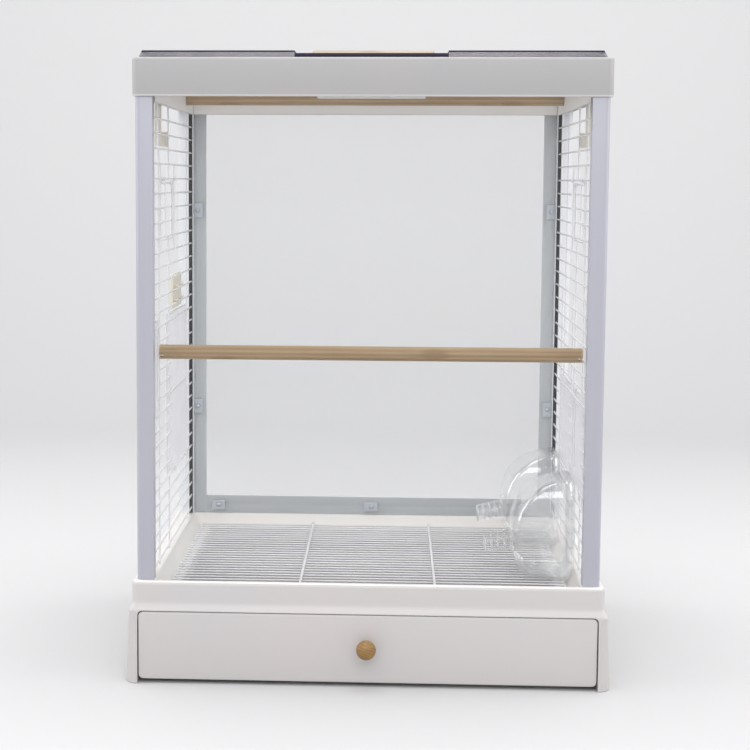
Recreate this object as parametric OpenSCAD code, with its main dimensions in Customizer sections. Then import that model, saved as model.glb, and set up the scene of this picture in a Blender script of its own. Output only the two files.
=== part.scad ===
// Square bird cage with clear front and rear panels, wire sides, a hinged clear roof and a drawer base.
// Origin: middle of the footprint on the surface it stands on. +Z is up, the front faces -Y, +X is its right side.

/* [Cage] */
// Width over the cap's side faces
cage_w = 470; // [450:1:565]
// Depth over the cap's front and rear faces
cage_d = 391; // [385:1:470]
// Height of the cap's top face
cage_h = 625.6; // [620:0.1:760]
// Height of the cap
cap_h = 38; // [34:0.5:46]
// Wall of the moulded base and cap
wall = 3; // [2.4:0.1:3.4]
// Radius of the cap's and base's upright corners
corner_r = 8; // [7:0.5:12]

/* [Base] */
// Height of the base's rim
base_h = 104; // [100:1:125]
// How far the base's rim stands out past the cap, all round
rim_out = 2.4; // [2:0.1:4]
// How much further the base spreads out at the floor
flare = 6.5; // [5:0.1:8]
// Width of the rim's flat top
rim_w = 23; // [22:0.5:24]
// Depth of the ledge below the rim, where the grate lies
ledge_drop = 15.5; // [15:0.5:18]
// How far the ledge reaches inwards
ledge_w = 12; // [10:0.5:14]
// Round on the rim's outer edge
rim_edge_r = 4; // [3:0.5:5]

/* [Drawer] */
// Width of the drawer's front
drawer_w = 460; // [440:1:552]
// Height of the drawer's front
drawer_h = 69; // [60:0.5:70]
// Gap below the drawer's front
drawer_gap = 4.3; // [4.2:0.1:6]
// Play between drawer and base on each side
drawer_play = 1; // [0.6:0.1:1.5]
// Diameter of the turned knob
knob_d = 20; // [16:0.5:24]
// How far the knob stands out
knob_reach = 24; // [20:0.5:30]

/* [Posts] */
// Width of a corner post, seen from the front
post_w = 17.5; // [14:0.5:19]
// Depth of a front post
post_d = 14; // [12:0.5:14.5]
// Thickness of the clear panels
panel_t = 2.8; // [2:0.1:3]
// Width of the rear posts' inner flange
flange_w = 14.6; // [12:0.1:18]
// Height of the rail along the bottom of the rear panel
rear_rail_h = 21; // [16:0.5:26]

/* [Side wires] */
// Diameter of the side wires
wire_d = 2; // [1.6:0.1:2.4]
// Distance between level wires
wire_pitch = 15.2; // [15.2:0.02:18.4]
// Distance of the wire wall from the cap's outer face
wire_in = 17; // [16.5:0.1:17.5]
// Diameter of the door frames' wire
frame_d = 2.4; // [2.3:0.1:2.6]
// Distance between the upright bars of a dense door
bar_pitch = 12; // [10:0.5:14]

/* [Perches and feeders] */
// Diameter of a perch
perch_d = 15; // [12:0.5:16]
// Width of a feeder
feeder_w = 84; // [70:1:90]
// How far a feeder reaches into the cage, without its step
feeder_depth = 64; // [55:1:70]
// Wall of a feeder
feeder_wall = 2; // [1.6:0.1:2.4]

/* [Roof] */
// Thickness of the clear roof
roof_t = 2; // [1.6:0.1:2.4]
// Height of the roof above the cap
roof_h = 6.1; // [6:0.1:8]
// Width of the channel that the handle lies in
channel_w = 150; // [140:1:170]
// Length of the wooden grip
grip_l = 133; // [110:1:133]
// Diameter of the wooden grip
grip_d = 15; // [13:0.5:16]
// Length of the handle's arms
arm_l = 60; // [50:1:70]

/* [Hidden] */
$fn = 48;

gap = 0.05;          // between wires that are laid across each other
clear = 0.3;         // between pieces that move past each other
half_w = cage_w / 2;
drawer_face = 5.6;   // how far the drawer's front stands out from the cap's front face
// The cap's front face, placed so that the whole footprint, knob included, is centred
front = -cage_d / 2 + (drawer_face + gap + knob_reach - rim_out - flare) / 2;
rear = front + cage_d;
mid = (front + rear) / 2;
cap_z = cage_h - cap_h;

// Wires: level wires lie inside, upright wires outside, and the doors outside those
wall_x = half_w - wire_in;
level_x = wall_x - (wire_d + gap) / 2;
upright_x = wall_x + (wire_d + gap) / 2;
door_x = upright_x + wire_d / 2 + clear + frame_d / 2;
first_wire = 8;      // height of the lowest level wire above the rim
under_cap = 12;      // least distance of the highest one below the cap
top_k = floor((cap_z - under_cap - base_h - first_wire) / wire_pitch);
wire_front = front + 24;
wire_rear = rear - 19;
function level_z(k) = base_h + first_wire + k * wire_pitch;

// Upright wires, by distance from the front
left_uprights = [front + 26, front + 81, front + 163, rear - 56, rear - 35];
right_uprights = [front + 26, front + 81, front + 163, rear - 113, rear - 35];

// Door openings: [front edge, rear edge, lower wire, upper wire, wires above it that its border wires reach].
// Beside a sliding door the border wires guide its clips, so they reach up by the door's travel of six wires.
entry_hole = [front + 163, rear - 56, 5, 16, 1];
left_feeder_hole = [front + 26, front + 81, 10, 16, 7];
upper_hole = [front + 95, front + 211, top_k - 8, top_k - 4, 1];
front_feeder_hole = [front + 60, front + 163, 5, 11, 7];
rear_feeder_hole = [rear - 203, rear - 79, 5, 11, 7];
left_holes = [left_feeder_hole, upper_hole, entry_hole];
right_holes = [front_feeder_hole, upper_hole, rear_feeder_hole];

// Base
rim_hx = half_w + rim_out;
rim_hy = cage_d / 2 + rim_out;
drawer_top = drawer_gap + drawer_h;
step_z = drawer_top - 1.5;
band_z = step_z + 12;
step_out = flare * 0.55;
well_hx = rim_hx - rim_w;
ledge_z = base_h - ledge_drop;
slope = 8;           // how far the rim's inner wall leans in on its way down to the ledge
lip_w = 5;           // the front rim's raised lip
seat_z = base_h - 6; // floor of the front rim behind the lip
opening_hx = drawer_w / 2 + drawer_play;
runner_w = 10;
runner_h = 4;
opening_top = drawer_top + drawer_play;

// Posts
front_post_y = front + 3;
post_out = half_w - 2.8;
rear_post_front = rear - 20;
rear_post_rear = rear - 3.3;
flange_t = 4;
panel_x = post_out - post_w - 1;
clip_z = [base_h + (cap_z - base_h) * 0.27, base_h + (cap_z - base_h) * 0.757];
clip_x = [-185, 0, 185];
clip_t = 2.6;
screw_d = 3;
screw_x = post_out - post_w - 5;

// Perches and feeders
perch_k = 14;
perch_y = front + 81;
perch_drop = 3.6;    // how far the notched wire lies below the perch's middle
upper_perch_y = rear - 86;
upper_perch_z = cap_z + 11;
feeder_x = level_x - wire_d / 2 - 1.5;   // back of a feeder
feeder_z = ledge_z + 5.6;
cup_h = 46;
hood_h = 105;
feeder_y = [front + 115, rear - 106];
hook_k = 2;

// Roof
roof_z = cage_h + clear;
roof_top = roof_z + roof_h;
roof_hx = half_w - 7;
roof_front = front + 3;
roof_rear = rear - 8;
hinge_y = rear - 3.6;
hinge_z = cage_h + 3.4;
hinge_pin_d = 3;
knuckle_d = 6.4;
knuckle_l = 9;
hinge_x = [-half_w + 33, half_w - 33];
channel_top = roof_top - 2.5;
arm_y = mid + 52;
grip_y = arm_y - arm_l;
grip_z = channel_top + grip_d / 2 + 0.3;
bail_d = 5;
arm_x = channel_w / 2 - 1 - bail_d / 2;

white = [0.93, 0.92, 0.91];
cream = [0.95, 0.93, 0.86];
grey = [0.76, 0.77, 0.82];
wood = [0.80, 0.69, 0.50];
clear_plastic = [0.85, 0.92, 0.92, 0.35];
smoked = [0.25, 0.25, 0.32, 0.6];

// ---- helpers ----

// A round bar from one point to another along one axis
module bar_y(x, y0, y1, z, d) { translate([x, y0, z]) rotate([-90, 0, 0]) cylinder(d = d, h = y1 - y0); }
module bar_z(x, y, z0, z1, d) { translate([x, y, z0]) cylinder(d = d, h = z1 - z0); }
module bar_x(x0, x1, y, z, d) { translate([x0, y, z]) rotate([0, 90, 0]) cylinder(d = d, h = x1 - x0); }

// A block from its low corner to its high corner
module block(lo, hi) { translate(lo) cube(hi - lo); }

module both_sides() { children(); mirror([1, 0, 0]) children(); }

module rounded_plate(hx, y0, y1, r) {
    difference() {
        translate([-hx, y0]) square([2 * hx, y1 - y0]);
        for (sx = [-1, 1], sy = [0, 1]) {
            cx = sx * (hx - r);
            cy = sy == 0 ? y0 + r : y1 - r;
            difference() {
                translate([sx > 0 ? cx : cx - r - 1, sy > 0 ? cy : cy - r - 1]) square(r + 1);
                translate([cx, cy]) circle(r);
            }
        }
    }
}

// ---- base ----

// Outline of the base's outside, as [distance out, height]
function rim_round(r) = [for (a = [0:30:90]) [r * (cos(a) - 1), base_h - r + r * sin(a)]];
function outside(half) = concat(
    [[half + flare, 0], [half + step_out, step_z], [half, band_z]],
    [for (p = rim_round(rim_edge_r)) [half + p[0], p[1]]]);
function two_sided(half) = concat(outside(half),
    [for (i = [len(outside(half)) - 1:-1:0]) [-outside(half)[i][0], outside(half)[i][1]]]);

module base_outside() {
    along_y = cage_d + 2 * rim_out - 2 * corner_r;
    along_x = 2 * (rim_hx - corner_r);
    translate([0, mid + along_y / 2, 0]) rotate([90, 0, 0])
        linear_extrude(along_y) polygon(two_sided(rim_hx));
    translate([-along_x / 2, mid, 0]) rotate([90, 0, 90])
        linear_extrude(along_x) polygon(two_sided(rim_hy));
    for (i = [0:3])
        translate([(i == 0 || i == 3 ? 1 : -1) * (rim_hx - corner_r),
                   mid + (i < 2 ? 1 : -1) * (rim_hy - corner_r), 0])
            rotate([0, 0, 90 * i]) rotate_extrude(angle = 90)
                polygon(concat([[0, 0]], outside(corner_r), [[0, base_h]]));
}

// The well above the ledge: its walls lean in on their way down
module well() {
    deep = cage_d + 2 * rim_out - 2 * rim_w;
    top = base_h + 1;
    lean = slope * (top - ledge_z) / ledge_drop;
    module leaning(half, along)
        linear_extrude(along) polygon([[-half + slope, ledge_z], [half - slope, ledge_z],
            [half - slope + lean, top], [-half + slope - lean, top]]);
    intersection() {
        translate([0, mid + cage_d / 2, 0]) rotate([90, 0, 0]) leaning(well_hx, cage_d);
        translate([-half_w, mid + 4.5, 0]) rotate([90, 0, 90]) leaning(deep / 2 + 4.5, cage_w);
    }
}

module base_shell() {
    hollow_hx = rim_hx - wall;
    hollow_y0 = front - rim_out + wall + 2;
    hollow_y1 = rear + rim_out - wall;
    color(white) difference() {
        base_outside();
        well();
        // the way down from the grate to the drawer
        block([-well_hx + slope + ledge_w, front + 44, 0], [well_hx - slope - ledge_w, rear - 26, ledge_z + 1]);
        // the drawer's opening, with a runner left standing along each side
        block([-opening_hx, front - 20, runner_h], [opening_hx, rear - 5, opening_top]);
        block([-opening_hx + runner_w, front - 20, -1], [opening_hx - runner_w, rear - 5, opening_top]);
        // the hollow inside the rim, which is open below
        for (s = [-1, 1])
            block([s > 0 ? well_hx + wall + 1.5 : -hollow_hx, front + 24, opening_top - 1],
                  [s > 0 ? hollow_hx : -well_hx - wall - 1.5, rear - 5, base_h - wall]);
        // pockets in the thick side walls, with ribs between them that guide the drawer
        for (s = [-1, 1], i = [0:3])
            block([s > 0 ? opening_hx - 1 : -rim_hx + wall - 1, front + 24 + i * (cage_d - 44) / 4, runner_h + 2],
                  [s > 0 ? rim_hx - wall + 1 : -opening_hx + 1,
                   front + 21 + (i + 1) * (cage_d - 44) / 4, opening_top - 4]);
        // the lowered seat behind the front lip, and the slot for the front panel
        block([-post_out + post_w + 1.6, front - rim_out + lip_w, seat_z],
              [post_out - post_w - 1.6, front + 34, base_h + 1]);
        block([-panel_x - 8.5, front + 17.4, seat_z], [panel_x + 8.5, front + 18.6 + panel_t, base_h + 1]);
        // sockets for the upright wires
        for (y = left_uprights) bar_z(-upright_x, y, base_h - 7, base_h + 1, wire_d + 0.2);
        for (y = right_uprights) bar_z(upright_x, y, base_h - 7, base_h + 1, wire_d + 0.2);
    }
}

module floor_grate() {
    rod_d = 3;
    side_x = well_hx - slope - 5;
    y0 = front + 36;
    y1 = rear - 22;
    count = floor((y1 - y0) / 12.6);
    rod_z = ledge_z + gap + rod_d / 2;
    wire_z = rod_z + rod_d / 2 + gap + wire_d / 2;
    cross_z = wire_z + wire_d / 2 + gap + rod_d / 2;
    color(white) {
        for (x = [-side_x, side_x]) bar_y(x, y0, y1, rod_z, rod_d);
        for (i = [0:count])
            bar_x(-side_x - 2.5, side_x + 2.5, y0 + 2 + i * (y1 - y0 - 4) / count, wire_z, wire_d);
        for (x = [-69, 69]) bar_y(x, y0, y1, cross_z, rod_d);
    }
}

// ---- drawer ----

module drawer() {
    t = 3;
    hx = opening_hx - 3;
    y1 = rear - 14;
    z0 = runner_h + clear;
    tray_h = 56;
    color(white) difference() {
        union() {
            translate([0, front - 2, 0]) rotate([90, 0, 0]) linear_extrude(drawer_face - 2)
                rounded_plate(drawer_w / 2, drawer_gap, drawer_top, 5);
            block([-hx, front - 2.01, z0], [hx, y1, z0 + tray_h]);
        }
        block([-hx + t, front + 1, z0 + t], [hx - t, y1 - t, z0 + tray_h + 1]);
        translate([0, front + 5, drawer_gap + drawer_h / 2 + 3]) rotate([90, 0, 0])
            cylinder(d = 4.2, h = 20);
    }
}

knob_z = drawer_gap + drawer_h / 2 + 3;
knob_y = front - drawer_face - gap;

// Turned outline of the knob: a neck, a belly and a domed end, as [radius, distance out]
module knob_outline() {
    r = knob_d / 2;
    dome = r * 0.88;
    polygon(concat([[0, 0], [r * 0.62, 0], [r * 0.58, 2.5], [r * 0.66, 5]],
        [for (a = [-35:14:91]) [r * cos(min(a, 90)),
            knob_reach - dome + (a > 0 ? dome * sin(min(a, 90)) : r * sin(a))]]));
}

module drawer_knob() {
    color(wood) difference() {
        translate([0, knob_y, knob_z]) rotate([90, 0, 0]) rotate_extrude() knob_outline();
        translate([0, knob_y + 1, knob_z]) rotate([90, 0, 0]) cylinder(d = 4.1, h = 13);
    }
}

module knob_screw() {
    color(grey) translate([0, front + 1.2, knob_z]) rotate([90, 0, 0]) {
        cylinder(d = 4, h = 1.2 + drawer_face + 11);
        translate([0, 0, -2.2]) difference() {
            cylinder(d = 8, h = 2.2);
            translate([-4, -0.6, -1]) cube([8, 1.2, 1.9]);
        }
    }
}

// ---- posts, rail and panels ----

// Plan of a post: its outer corner is rounded to sit inside the cap's corner
post_r = corner_r - 2.4;
module post_plan(w, d) {
    difference() {
        square([w, d]);
        translate([w - post_r, -1]) square([post_r + 1, post_r + 1]);
    }
    intersection() {
        square([w, d]);
        translate([w - post_r, post_r]) circle(post_r);
    }
}

module front_post() {
    x0 = post_out - post_w;
    color(grey) difference() {
        translate([x0, front_post_y, base_h]) linear_extrude(cage_h - wall - base_h) post_plan(post_w, post_d);
        // groove down the back, which faces the wire wall
        block([level_x - wire_d / 2 - 0.6, front_post_y + post_d - 4, base_h - 1],
              [upright_x + wire_d / 2 + 0.6, front_post_y + post_d + 1, cage_h]);
    }
}

module front_left_post() { mirror([1, 0, 0]) front_post(); }
module front_right_post() { front_post(); }

// A rear post is an L: a column with a groove that takes the wires' ends, and a flange behind the panel
module rear_post() {
    x0 = post_out - post_w;
    color(grey) difference() {
        union() {
            translate([x0, rear_post_rear, base_h]) mirror([0, 1, 0])
                linear_extrude(cage_h - wall - base_h) post_plan(post_w, rear_post_rear - rear_post_front);
            block([x0 - flange_w, rear_post_rear - flange_t, base_h], [x0 + 1, rear_post_rear, cage_h - wall]);
        }
        block([level_x - wire_d / 2 - 0.6, rear_post_front - 1, base_h - 1],
              [upright_x + wire_d / 2 + 0.6, rear_post_front + 8, cage_h]);
        for (z = clip_z) screw_hole(screw_x, z, screw_d + 0.1);
    }
}

module screw_hole(x, z, d) { translate([x, rear + 1, z]) rotate([90, 0, 0]) cylinder(d = d, h = 20); }

module rear_left_post() { mirror([1, 0, 0]) rear_post(); }
module rear_right_post() { rear_post(); }

rail_clip_z = base_h + 10;

module rear_rail() {
    hx = post_out - post_w - flange_w - gap;
    color(grey) difference() {
        block([-hx, rear_post_rear - flange_t, base_h], [hx, rear_post_rear, base_h + rear_rail_h]);
        for (x = clip_x) screw_hole(x, rail_clip_z, screw_d + 0.1);
    }
}

panel_z0 = base_h + 0.4;
panel_z1 = cage_h - wall - 8;

module front_panel() {
    color(clear_plastic)
        block([-panel_x - 8, front + 18, seat_z + 0.3], [panel_x + 8, front + 18 + panel_t, panel_z1]);
}

// White pull strip clipped on the front panel, just showing below the cap
module front_panel_pull() {
    y0 = front + 17.4 - 2.2;
    color(white) difference() {
        block([-53, y0, cap_z - 1.4], [53, front + 17.8, cap_z + 14]);
        block([-40, y0 - 1, cap_z + 3], [40, y0 + 1.2, cap_z + 11]);
    }
}

rear_panel_y = rear_post_rear - flange_t - 0.3 - panel_t;

module rear_panel() {
    color(clear_plastic) difference() {
        block([-panel_x, rear_panel_y, panel_z0], [panel_x, rear_panel_y + panel_t, panel_z1]);
        for (s = [-1, 1], z = clip_z) screw_hole(s * screw_x, z, screw_d + 0.4);
        for (x = clip_x) screw_hole(x, rail_clip_z, screw_d + 0.4);
    }
}

clip_y = rear_panel_y - gap - clip_t;

// A clip with its screw hole at the origin; shift moves the plate sideways round the hole
module clip(w, h, shift = 0) {
    difference() {
        translate([shift - w / 2, 0, -h / 2]) cube([w, clip_t, h]);
        translate([0, clip_t + 1, 0]) rotate([90, 0, 0]) cylinder(d = screw_d + 0.2, h = clip_t + 2);
    }
}

module panel_clips() {
    color(grey) {
        for (s = [-1, 1], z = clip_z) translate([s * screw_x, clip_y, z]) clip(10.4, 17, -0.6 * s);
        for (x = clip_x) translate([x, clip_y, rail_clip_z]) clip(16, 11);
    }
}

module pan_screw() {
    rotate([-90, 0, 0]) {
        cylinder(d = screw_d, h = clip_t + panel_t + flange_t + 0.3);
        translate([0, 0, -1.8]) difference() {
            cylinder(d = 5.6, h = 1.8);
            translate([-0.4, -2, -1]) cube([0.8, 4, 1.9]);
            translate([-2, -0.4, -1]) cube([4, 0.8, 1.9]);
        }
    }
}

module clip_screws() {
    color(grey) {
        for (s = [-1, 1], z = clip_z) translate([s * screw_x, clip_y, z]) pan_screw();
        for (x = clip_x) translate([x, clip_y, rail_clip_z]) pan_screw();
    }
}

// ---- cap ----

side_rail_t = 2.6;
side_rail_x = upright_x - wire_d / 2 - 0.6 - side_rail_t;

module cap_frame() {
    ring_w = 25;
    skirt_z = cap_z - 4.6;
    color(white) difference() {
        union() {
            difference() {
                translate([0, 0, cap_z]) linear_extrude(cap_h) rounded_plate(half_w, front, rear, corner_r);
                translate([0, 0, cap_z - 1]) linear_extrude(cap_h - wall + 1)
                    rounded_plate(half_w - 2.6, front + 2.8, rear - 3.1, corner_r - 2.8);
                block([-half_w + ring_w, front + ring_w, cap_z], [half_w - ring_w, rear - ring_w, cage_h + 1]);
            }
            // inner rail above the rear panel, and its webs up to the ring
            block([-well_hx, rear_panel_y - 6, skirt_z], [well_hx, rear_panel_y - 3.2, cage_h - 1]);
            // inner rail behind the front panel, and one along each wire wall
            block([-side_rail_x - 1, front + 21.4, cap_z + 2], [side_rail_x + 1, front + 24, cage_h - 1]);
            for (s = [-1, 1])
                block([s > 0 ? side_rail_x : -side_rail_x - side_rail_t, front + 21.4, skirt_z],
                      [s > 0 ? side_rail_x + side_rail_t : -side_rail_x, rear_post_front - clear, cage_h - 1]);
            // sockets for the upper perch
            for (s = [-1, 1])
                block([s > 0 ? side_rail_x + 1 : -half_w + 2, upper_perch_y - perch_d / 2 - 3,
                       upper_perch_z - perch_d / 2 - 3],
                      [s > 0 ? half_w - 2 : -side_rail_x - 1, upper_perch_y + perch_d / 2 + 3, cage_h - 1]);
            // feet of the roof's hinges
            for (x = hinge_x, s = [-1, 1])
                block([x + s * (knuckle_l + 0.4) - knuckle_l / 2, hinge_y - 3.1, cage_h - 1],
                      [x + s * (knuckle_l + 0.4) + knuckle_l / 2, hinge_y + 3.1, hinge_z]);
            for (x = hinge_x, s = [-1, 1])
                bar_x(x + s * (knuckle_l + 0.4) - knuckle_l / 2, x + s * (knuckle_l + 0.4) + knuckle_l / 2,
                      hinge_y, hinge_z, knuckle_d);
        }
        for (x = hinge_x) bar_x(x - 2 * knuckle_l, x + 2 * knuckle_l, hinge_y, hinge_z, hinge_pin_d + 0.1);
        // the sockets' round beds
        for (s = [-1, 1])
            bar_x(s > 0 ? side_rail_x - 1 : -half_w + 4, s > 0 ? half_w - 4 : -side_rail_x + 1,
                  upper_perch_y, upper_perch_z, perch_d + 0.4);
    }
}

// L-shaped clip that holds the cap down on the wire wall
module roof_buckle() {
    x0 = upright_x + wire_d / 2 + 0.5;
    y0 = front + 90;
    z0 = level_z(top_k) - 27;
    color(cream) {
        block([x0, y0, z0], [x0 + 3, y0 + 30, cap_z + 16]);
        block([x0, y0, z0], [x0 + 3, y0 + 75, z0 + 13]);
        // hook over a level wire
        block([level_x - wire_d / 2, y0 + 40, level_z(top_k - 1) + wire_d / 2 + 0.1],
              [x0 + 1, y0 + 52, level_z(top_k - 1) + wire_d / 2 + 2.4]);
        block([x0, y0 + 40, z0 + 5], [x0 + 3, y0 + 52, level_z(top_k - 1) + wire_d / 2 + 2.4]);
    }
}

module left_roof_buckle() { mirror([1, 0, 0]) roof_buckle(); }
module right_roof_buckle() { roof_buckle(); }

// ---- wire walls ----

// Stretches of a level wire that the openings leave, as [start, end]
function level_spans(k, start, holes, i = 0) =
    i == len(holes) ? [[start, wire_rear]]
    : k > holes[i][2] && k < holes[i][3]
        ? concat([[start, holes[i][0] + 1]], level_spans(k, holes[i][1] - 1, holes, i + 1))
        : level_spans(k, start, holes, i + 1);

// Stretches of an upright wire at y that the openings leave, from the lowest opening up
function upright_spans(y, start, holes, i = 0) =
    i == len(holes) ? [[start, upright_top]]
    : y > holes[i][0] + 2 && y < holes[i][1] - 2
        ? concat([[start, level_z(holes[i][2]) + 1]], upright_spans(y, level_z(holes[i][3]) - 1, holes, i + 1))
        : upright_spans(y, start, holes, i + 1);
upright_bottom = base_h - 6;
upright_top = cap_z + 22;

module wire_wall(uprights, holes) {
    for (k = [0:top_k], s = level_spans(k, wire_front, holes))
        if (s[1] - s[0] > 3) bar_y(level_x, s[0], s[1], level_z(k), wire_d);
    by_height = [for (low = [0:top_k], h = holes) if (h[2] == low) h];
    for (y = uprights, s = upright_spans(y, upright_bottom, by_height))
        bar_z(upright_x, y, s[0], s[1], wire_d);
    // short border wires beside an opening that has no upright wire there
    for (h = holes, y = [h[0], h[1]])
        if (len([for (u = uprights) if (abs(u - y) < 3) u]) == 0)
            bar_z(upright_x, y, level_z(h[2] - 1) - 1.5, level_z(h[3] + h[4]) + 1.5, wire_d);
}

module left_wire_wall() { color(white) mirror([1, 0, 0]) wire_wall(left_uprights, left_holes); }
module right_wire_wall() { color(white) wire_wall(right_uprights, right_holes); }

// ---- doors ----

hinge_drop = 4.4;    // distance of a door's hinge rod from the level wire that holds it
hinge_rod_d = frame_d - 0.2;
loop_w = 6;

function hinge_rod_z(k) = level_z(k) - hinge_drop;

// Figure-eight loop: one eye round a level wire, one round a door's hinge rod
module hinge_loop(y, k) {
    rod_z = hinge_rod_z(k);
    translate([0, y + loop_w / 2, 0]) rotate([90, 0, 0]) linear_extrude(loop_w) difference() {
        union() {
            translate([level_x, level_z(k)]) circle(d = wire_d + 2.6);
            translate([door_x, rod_z]) circle(d = frame_d + 2.6);
            polygon([[level_x, level_z(k) + 1.6], [door_x, rod_z + 1.6],
                     [door_x, rod_z - 1.6], [level_x, level_z(k) - 1.6]]);
        }
        translate([level_x, level_z(k)]) circle(d = wire_d + 0.12);
        translate([door_x, rod_z]) circle(d = hinge_rod_d + 0.12);
    }
}

// Frame of four rods, upright bars and level bars. The level rods end in the upright ones, which stand
// past them by a rod's radius, but not past the rod at the bottom or top that the door turns on.
module grille(y0, y1, z0, z1, bars, rungs, turns_on = "none") {
    bar = frame_d - 0.6;
    below = turns_on == "bottom" ? 0 : 1.2;
    above = turns_on == "top" ? 0 : 1.2;
    for (y = [y0, y1]) bar_z(door_x, y, z0 - below, z1 + above, frame_d);
    for (z = [z0, z1]) bar_y(door_x, y0, y1, z, hinge_rod_d);
    for (y = bars) bar_z(door_x, y, z0, z1, bar);
    for (z = rungs) bar_y(door_x, y0, y1, z, bar);
}

function dense(y0, y1) = let(n = round((y1 - y0) / bar_pitch))
    [for (i = [1:n - 1]) y0 + i * (y1 - y0) / n];

// Middle of the space beside the bar that is nearest to a share of the door's width
function between_bars(h, share) = let(n = round((h[1] - h[0]) / bar_pitch))
    h[0] + (round(share * n) + 0.5) * (h[1] - h[0]) / n;

module entry_door() {
    z0 = hinge_rod_z(entry_hole[2]);
    z1 = level_z(entry_hole[3]) + 5;
    color(white) mirror([1, 0, 0])
        grille(entry_hole[0], entry_hole[1], z0, z1, dense(entry_hole[0], entry_hole[1]), [(z0 + z1) / 2], "bottom");
}

// Cream catch plate above the entry door, hooked over two level wires
module entry_latch() {
    x0 = upright_x + wire_d / 2 + 0.4;
    y0 = entry_hole[0] + 55;
    y1 = y0 + 80;
    z0 = level_z(entry_hole[3]) + 8.5;
    color(cream) mirror([1, 0, 0]) difference() {
        union() {
            block([x0, y0, z0], [x0 + 4, y1, z0 + 38]);
            for (k = [entry_hole[3] + 1, entry_hole[3] + 2], y = [y0 + 10, y1 - 20])
                block([level_x - wire_d / 2, y, level_z(k) + wire_d / 2 + 0.1],
                      [x0 + 1, y + 10, level_z(k) + wire_d / 2 + 2.6]);
        }
        block([x0 + 2, y0 + 25, z0 + 12], [x0 + 5, y1 - 25, z0 + 26]);
    }
}

// A door that slides up: dense bars, four clips on the upright wires and a pull loop
module sliding_door(h) {
    z0 = level_z(h[2]) - 4;
    z1 = level_z(h[3]) + 5;
    pull = (h[0] + h[1]) / 2;
    bars = dense(h[0], h[1]);
    grille(h[0], h[1], z0, z1, bars, []);
    for (y = [h[0], h[1]], z = [z0 + 8, z1 - 16])
        difference() {
            block([wall_x + 0.3, y - 2.6, z], [door_x, y + 2.6, z + 8]);
            block([wall_x - 1, y - wire_d / 2 - 0.3, z - 1], [upright_x + wire_d / 2 + clear, y + wire_d / 2 + 0.3, z + 9]);
        }
    for (s = [-1, 1]) bar_z(door_x, pull + 8 * s, z0 - 12, z0, frame_d - 0.6);
    bar_y(door_x, pull - 8, pull + 8, z0 - 12, frame_d - 0.4);
}

module left_feeder_door() { color(white) mirror([1, 0, 0]) sliding_door(left_feeder_hole); }
module front_feeder_door() { color(white) sliding_door(front_feeder_hole); }
module rear_feeder_door() { color(white) sliding_door(rear_feeder_hole); }

// A light door that hangs from its top rod
module upper_door() {
    h = upper_hole;
    z0 = level_z(h[2]) - 4;
    z1 = hinge_rod_z(h[3]);
    grille(h[0], h[1], z0, z1, [(h[0] + h[1]) / 2], [for (k = [h[2] + 1:h[3] - 1]) level_z(k)], "top");
}
module left_upper_door() { color(white) mirror([1, 0, 0]) upper_door(); }
module right_upper_door() { color(white) upper_door(); }

upper_loops = [upper_hole[0] + 9, upper_hole[1] - 9];

module door_hinge_loops() {
    color(white) {
        mirror([1, 0, 0]) {
            for (share = [0.15, 0.8]) hinge_loop(between_bars(entry_hole, share), entry_hole[2]);
            for (y = upper_loops) hinge_loop(y, upper_hole[3]);
        }
        for (y = upper_loops) hinge_loop(y, upper_hole[3]);
    }
}

// ---- perches ----

module lower_perch() {
    end = wall_x;
    notch = wire_d / 2 + 0.2;
    color(wood) difference() {
        bar_x(-end, end, perch_y, level_z(perch_k) + perch_drop, perch_d);
        // a notch across each end, which straddles a level wire
        for (s = [-1, 1])
            block([s > 0 ? level_x - 3 : -end - 1, perch_y - perch_d, level_z(perch_k) - notch],
                  [s > 0 ? end + 1 : -level_x + 3, perch_y + perch_d, level_z(perch_k) + notch]);
    }
}

module upper_perch() {
    color(wood) bar_x(-half_w + 5, half_w - 5, upper_perch_y, upper_perch_z, perch_d);
}

// ---- feeders ----

// Side outline of a feeder from its back at 0 to its front at feeder_depth, as [distance in, height]
function arc(cx, cz, r, a0, a1) = [for (i = [0:6]) let(a = a0 + (a1 - a0) * i / 6) [cx + r * cos(a), cz + r * sin(a)]];
lean_h = base_h + 3 - feeder_z;   // the back's lower part leans in, along the rim's inner wall
lean_w = lean_h * slope / ledge_drop;
cup_r = 30;          // round of the cup's front
hood_r = 56;         // round of the hood's front
function feeder_outline(inset, top) = let(d = feeder_depth - inset, r = cup_r - inset)
    concat([[inset, lean_h], [lean_w + inset, inset]], arc(d - r, inset + r, r, -90, 0), [[d, top], [inset, top]]);
function hood_outline(inset) = let(d = feeder_depth - inset, r = hood_r - inset, top = hood_h - inset)
    concat([[inset, cup_h + 0.2]], [[d, cup_h + 0.2]], arc(d - r, top - r, r, 0, 90), [[inset, top]]);

module feeder_frame(y) { translate([feeder_x, y, feeder_z]) rotate([90, 0, 0]) mirror([1, 0, 0]) children(); }

// Tray with rows of slots that the bird stands on. It slopes down away from the cup's rim.
module feeder_step(w) {
    tilt = 14;
    l = 31;
    h = 10;
    translate([feeder_depth, cup_h - 3, 0]) rotate([0, 0, -tilt]) difference() {
        translate([-2, -h, -w / 2]) cube([l + 2, h, w]);
        translate([1.5, -h + 2.4, -w / 2 + 1.6]) cube([l - 3.1, h, w - 3.2]);
        for (i = [0:2], j = [-2:2])
            translate([4.5 + i * 8, -h - 1, j * 9 - 2.7]) cube([5, 5, 5.4]);
    }
}

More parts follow.
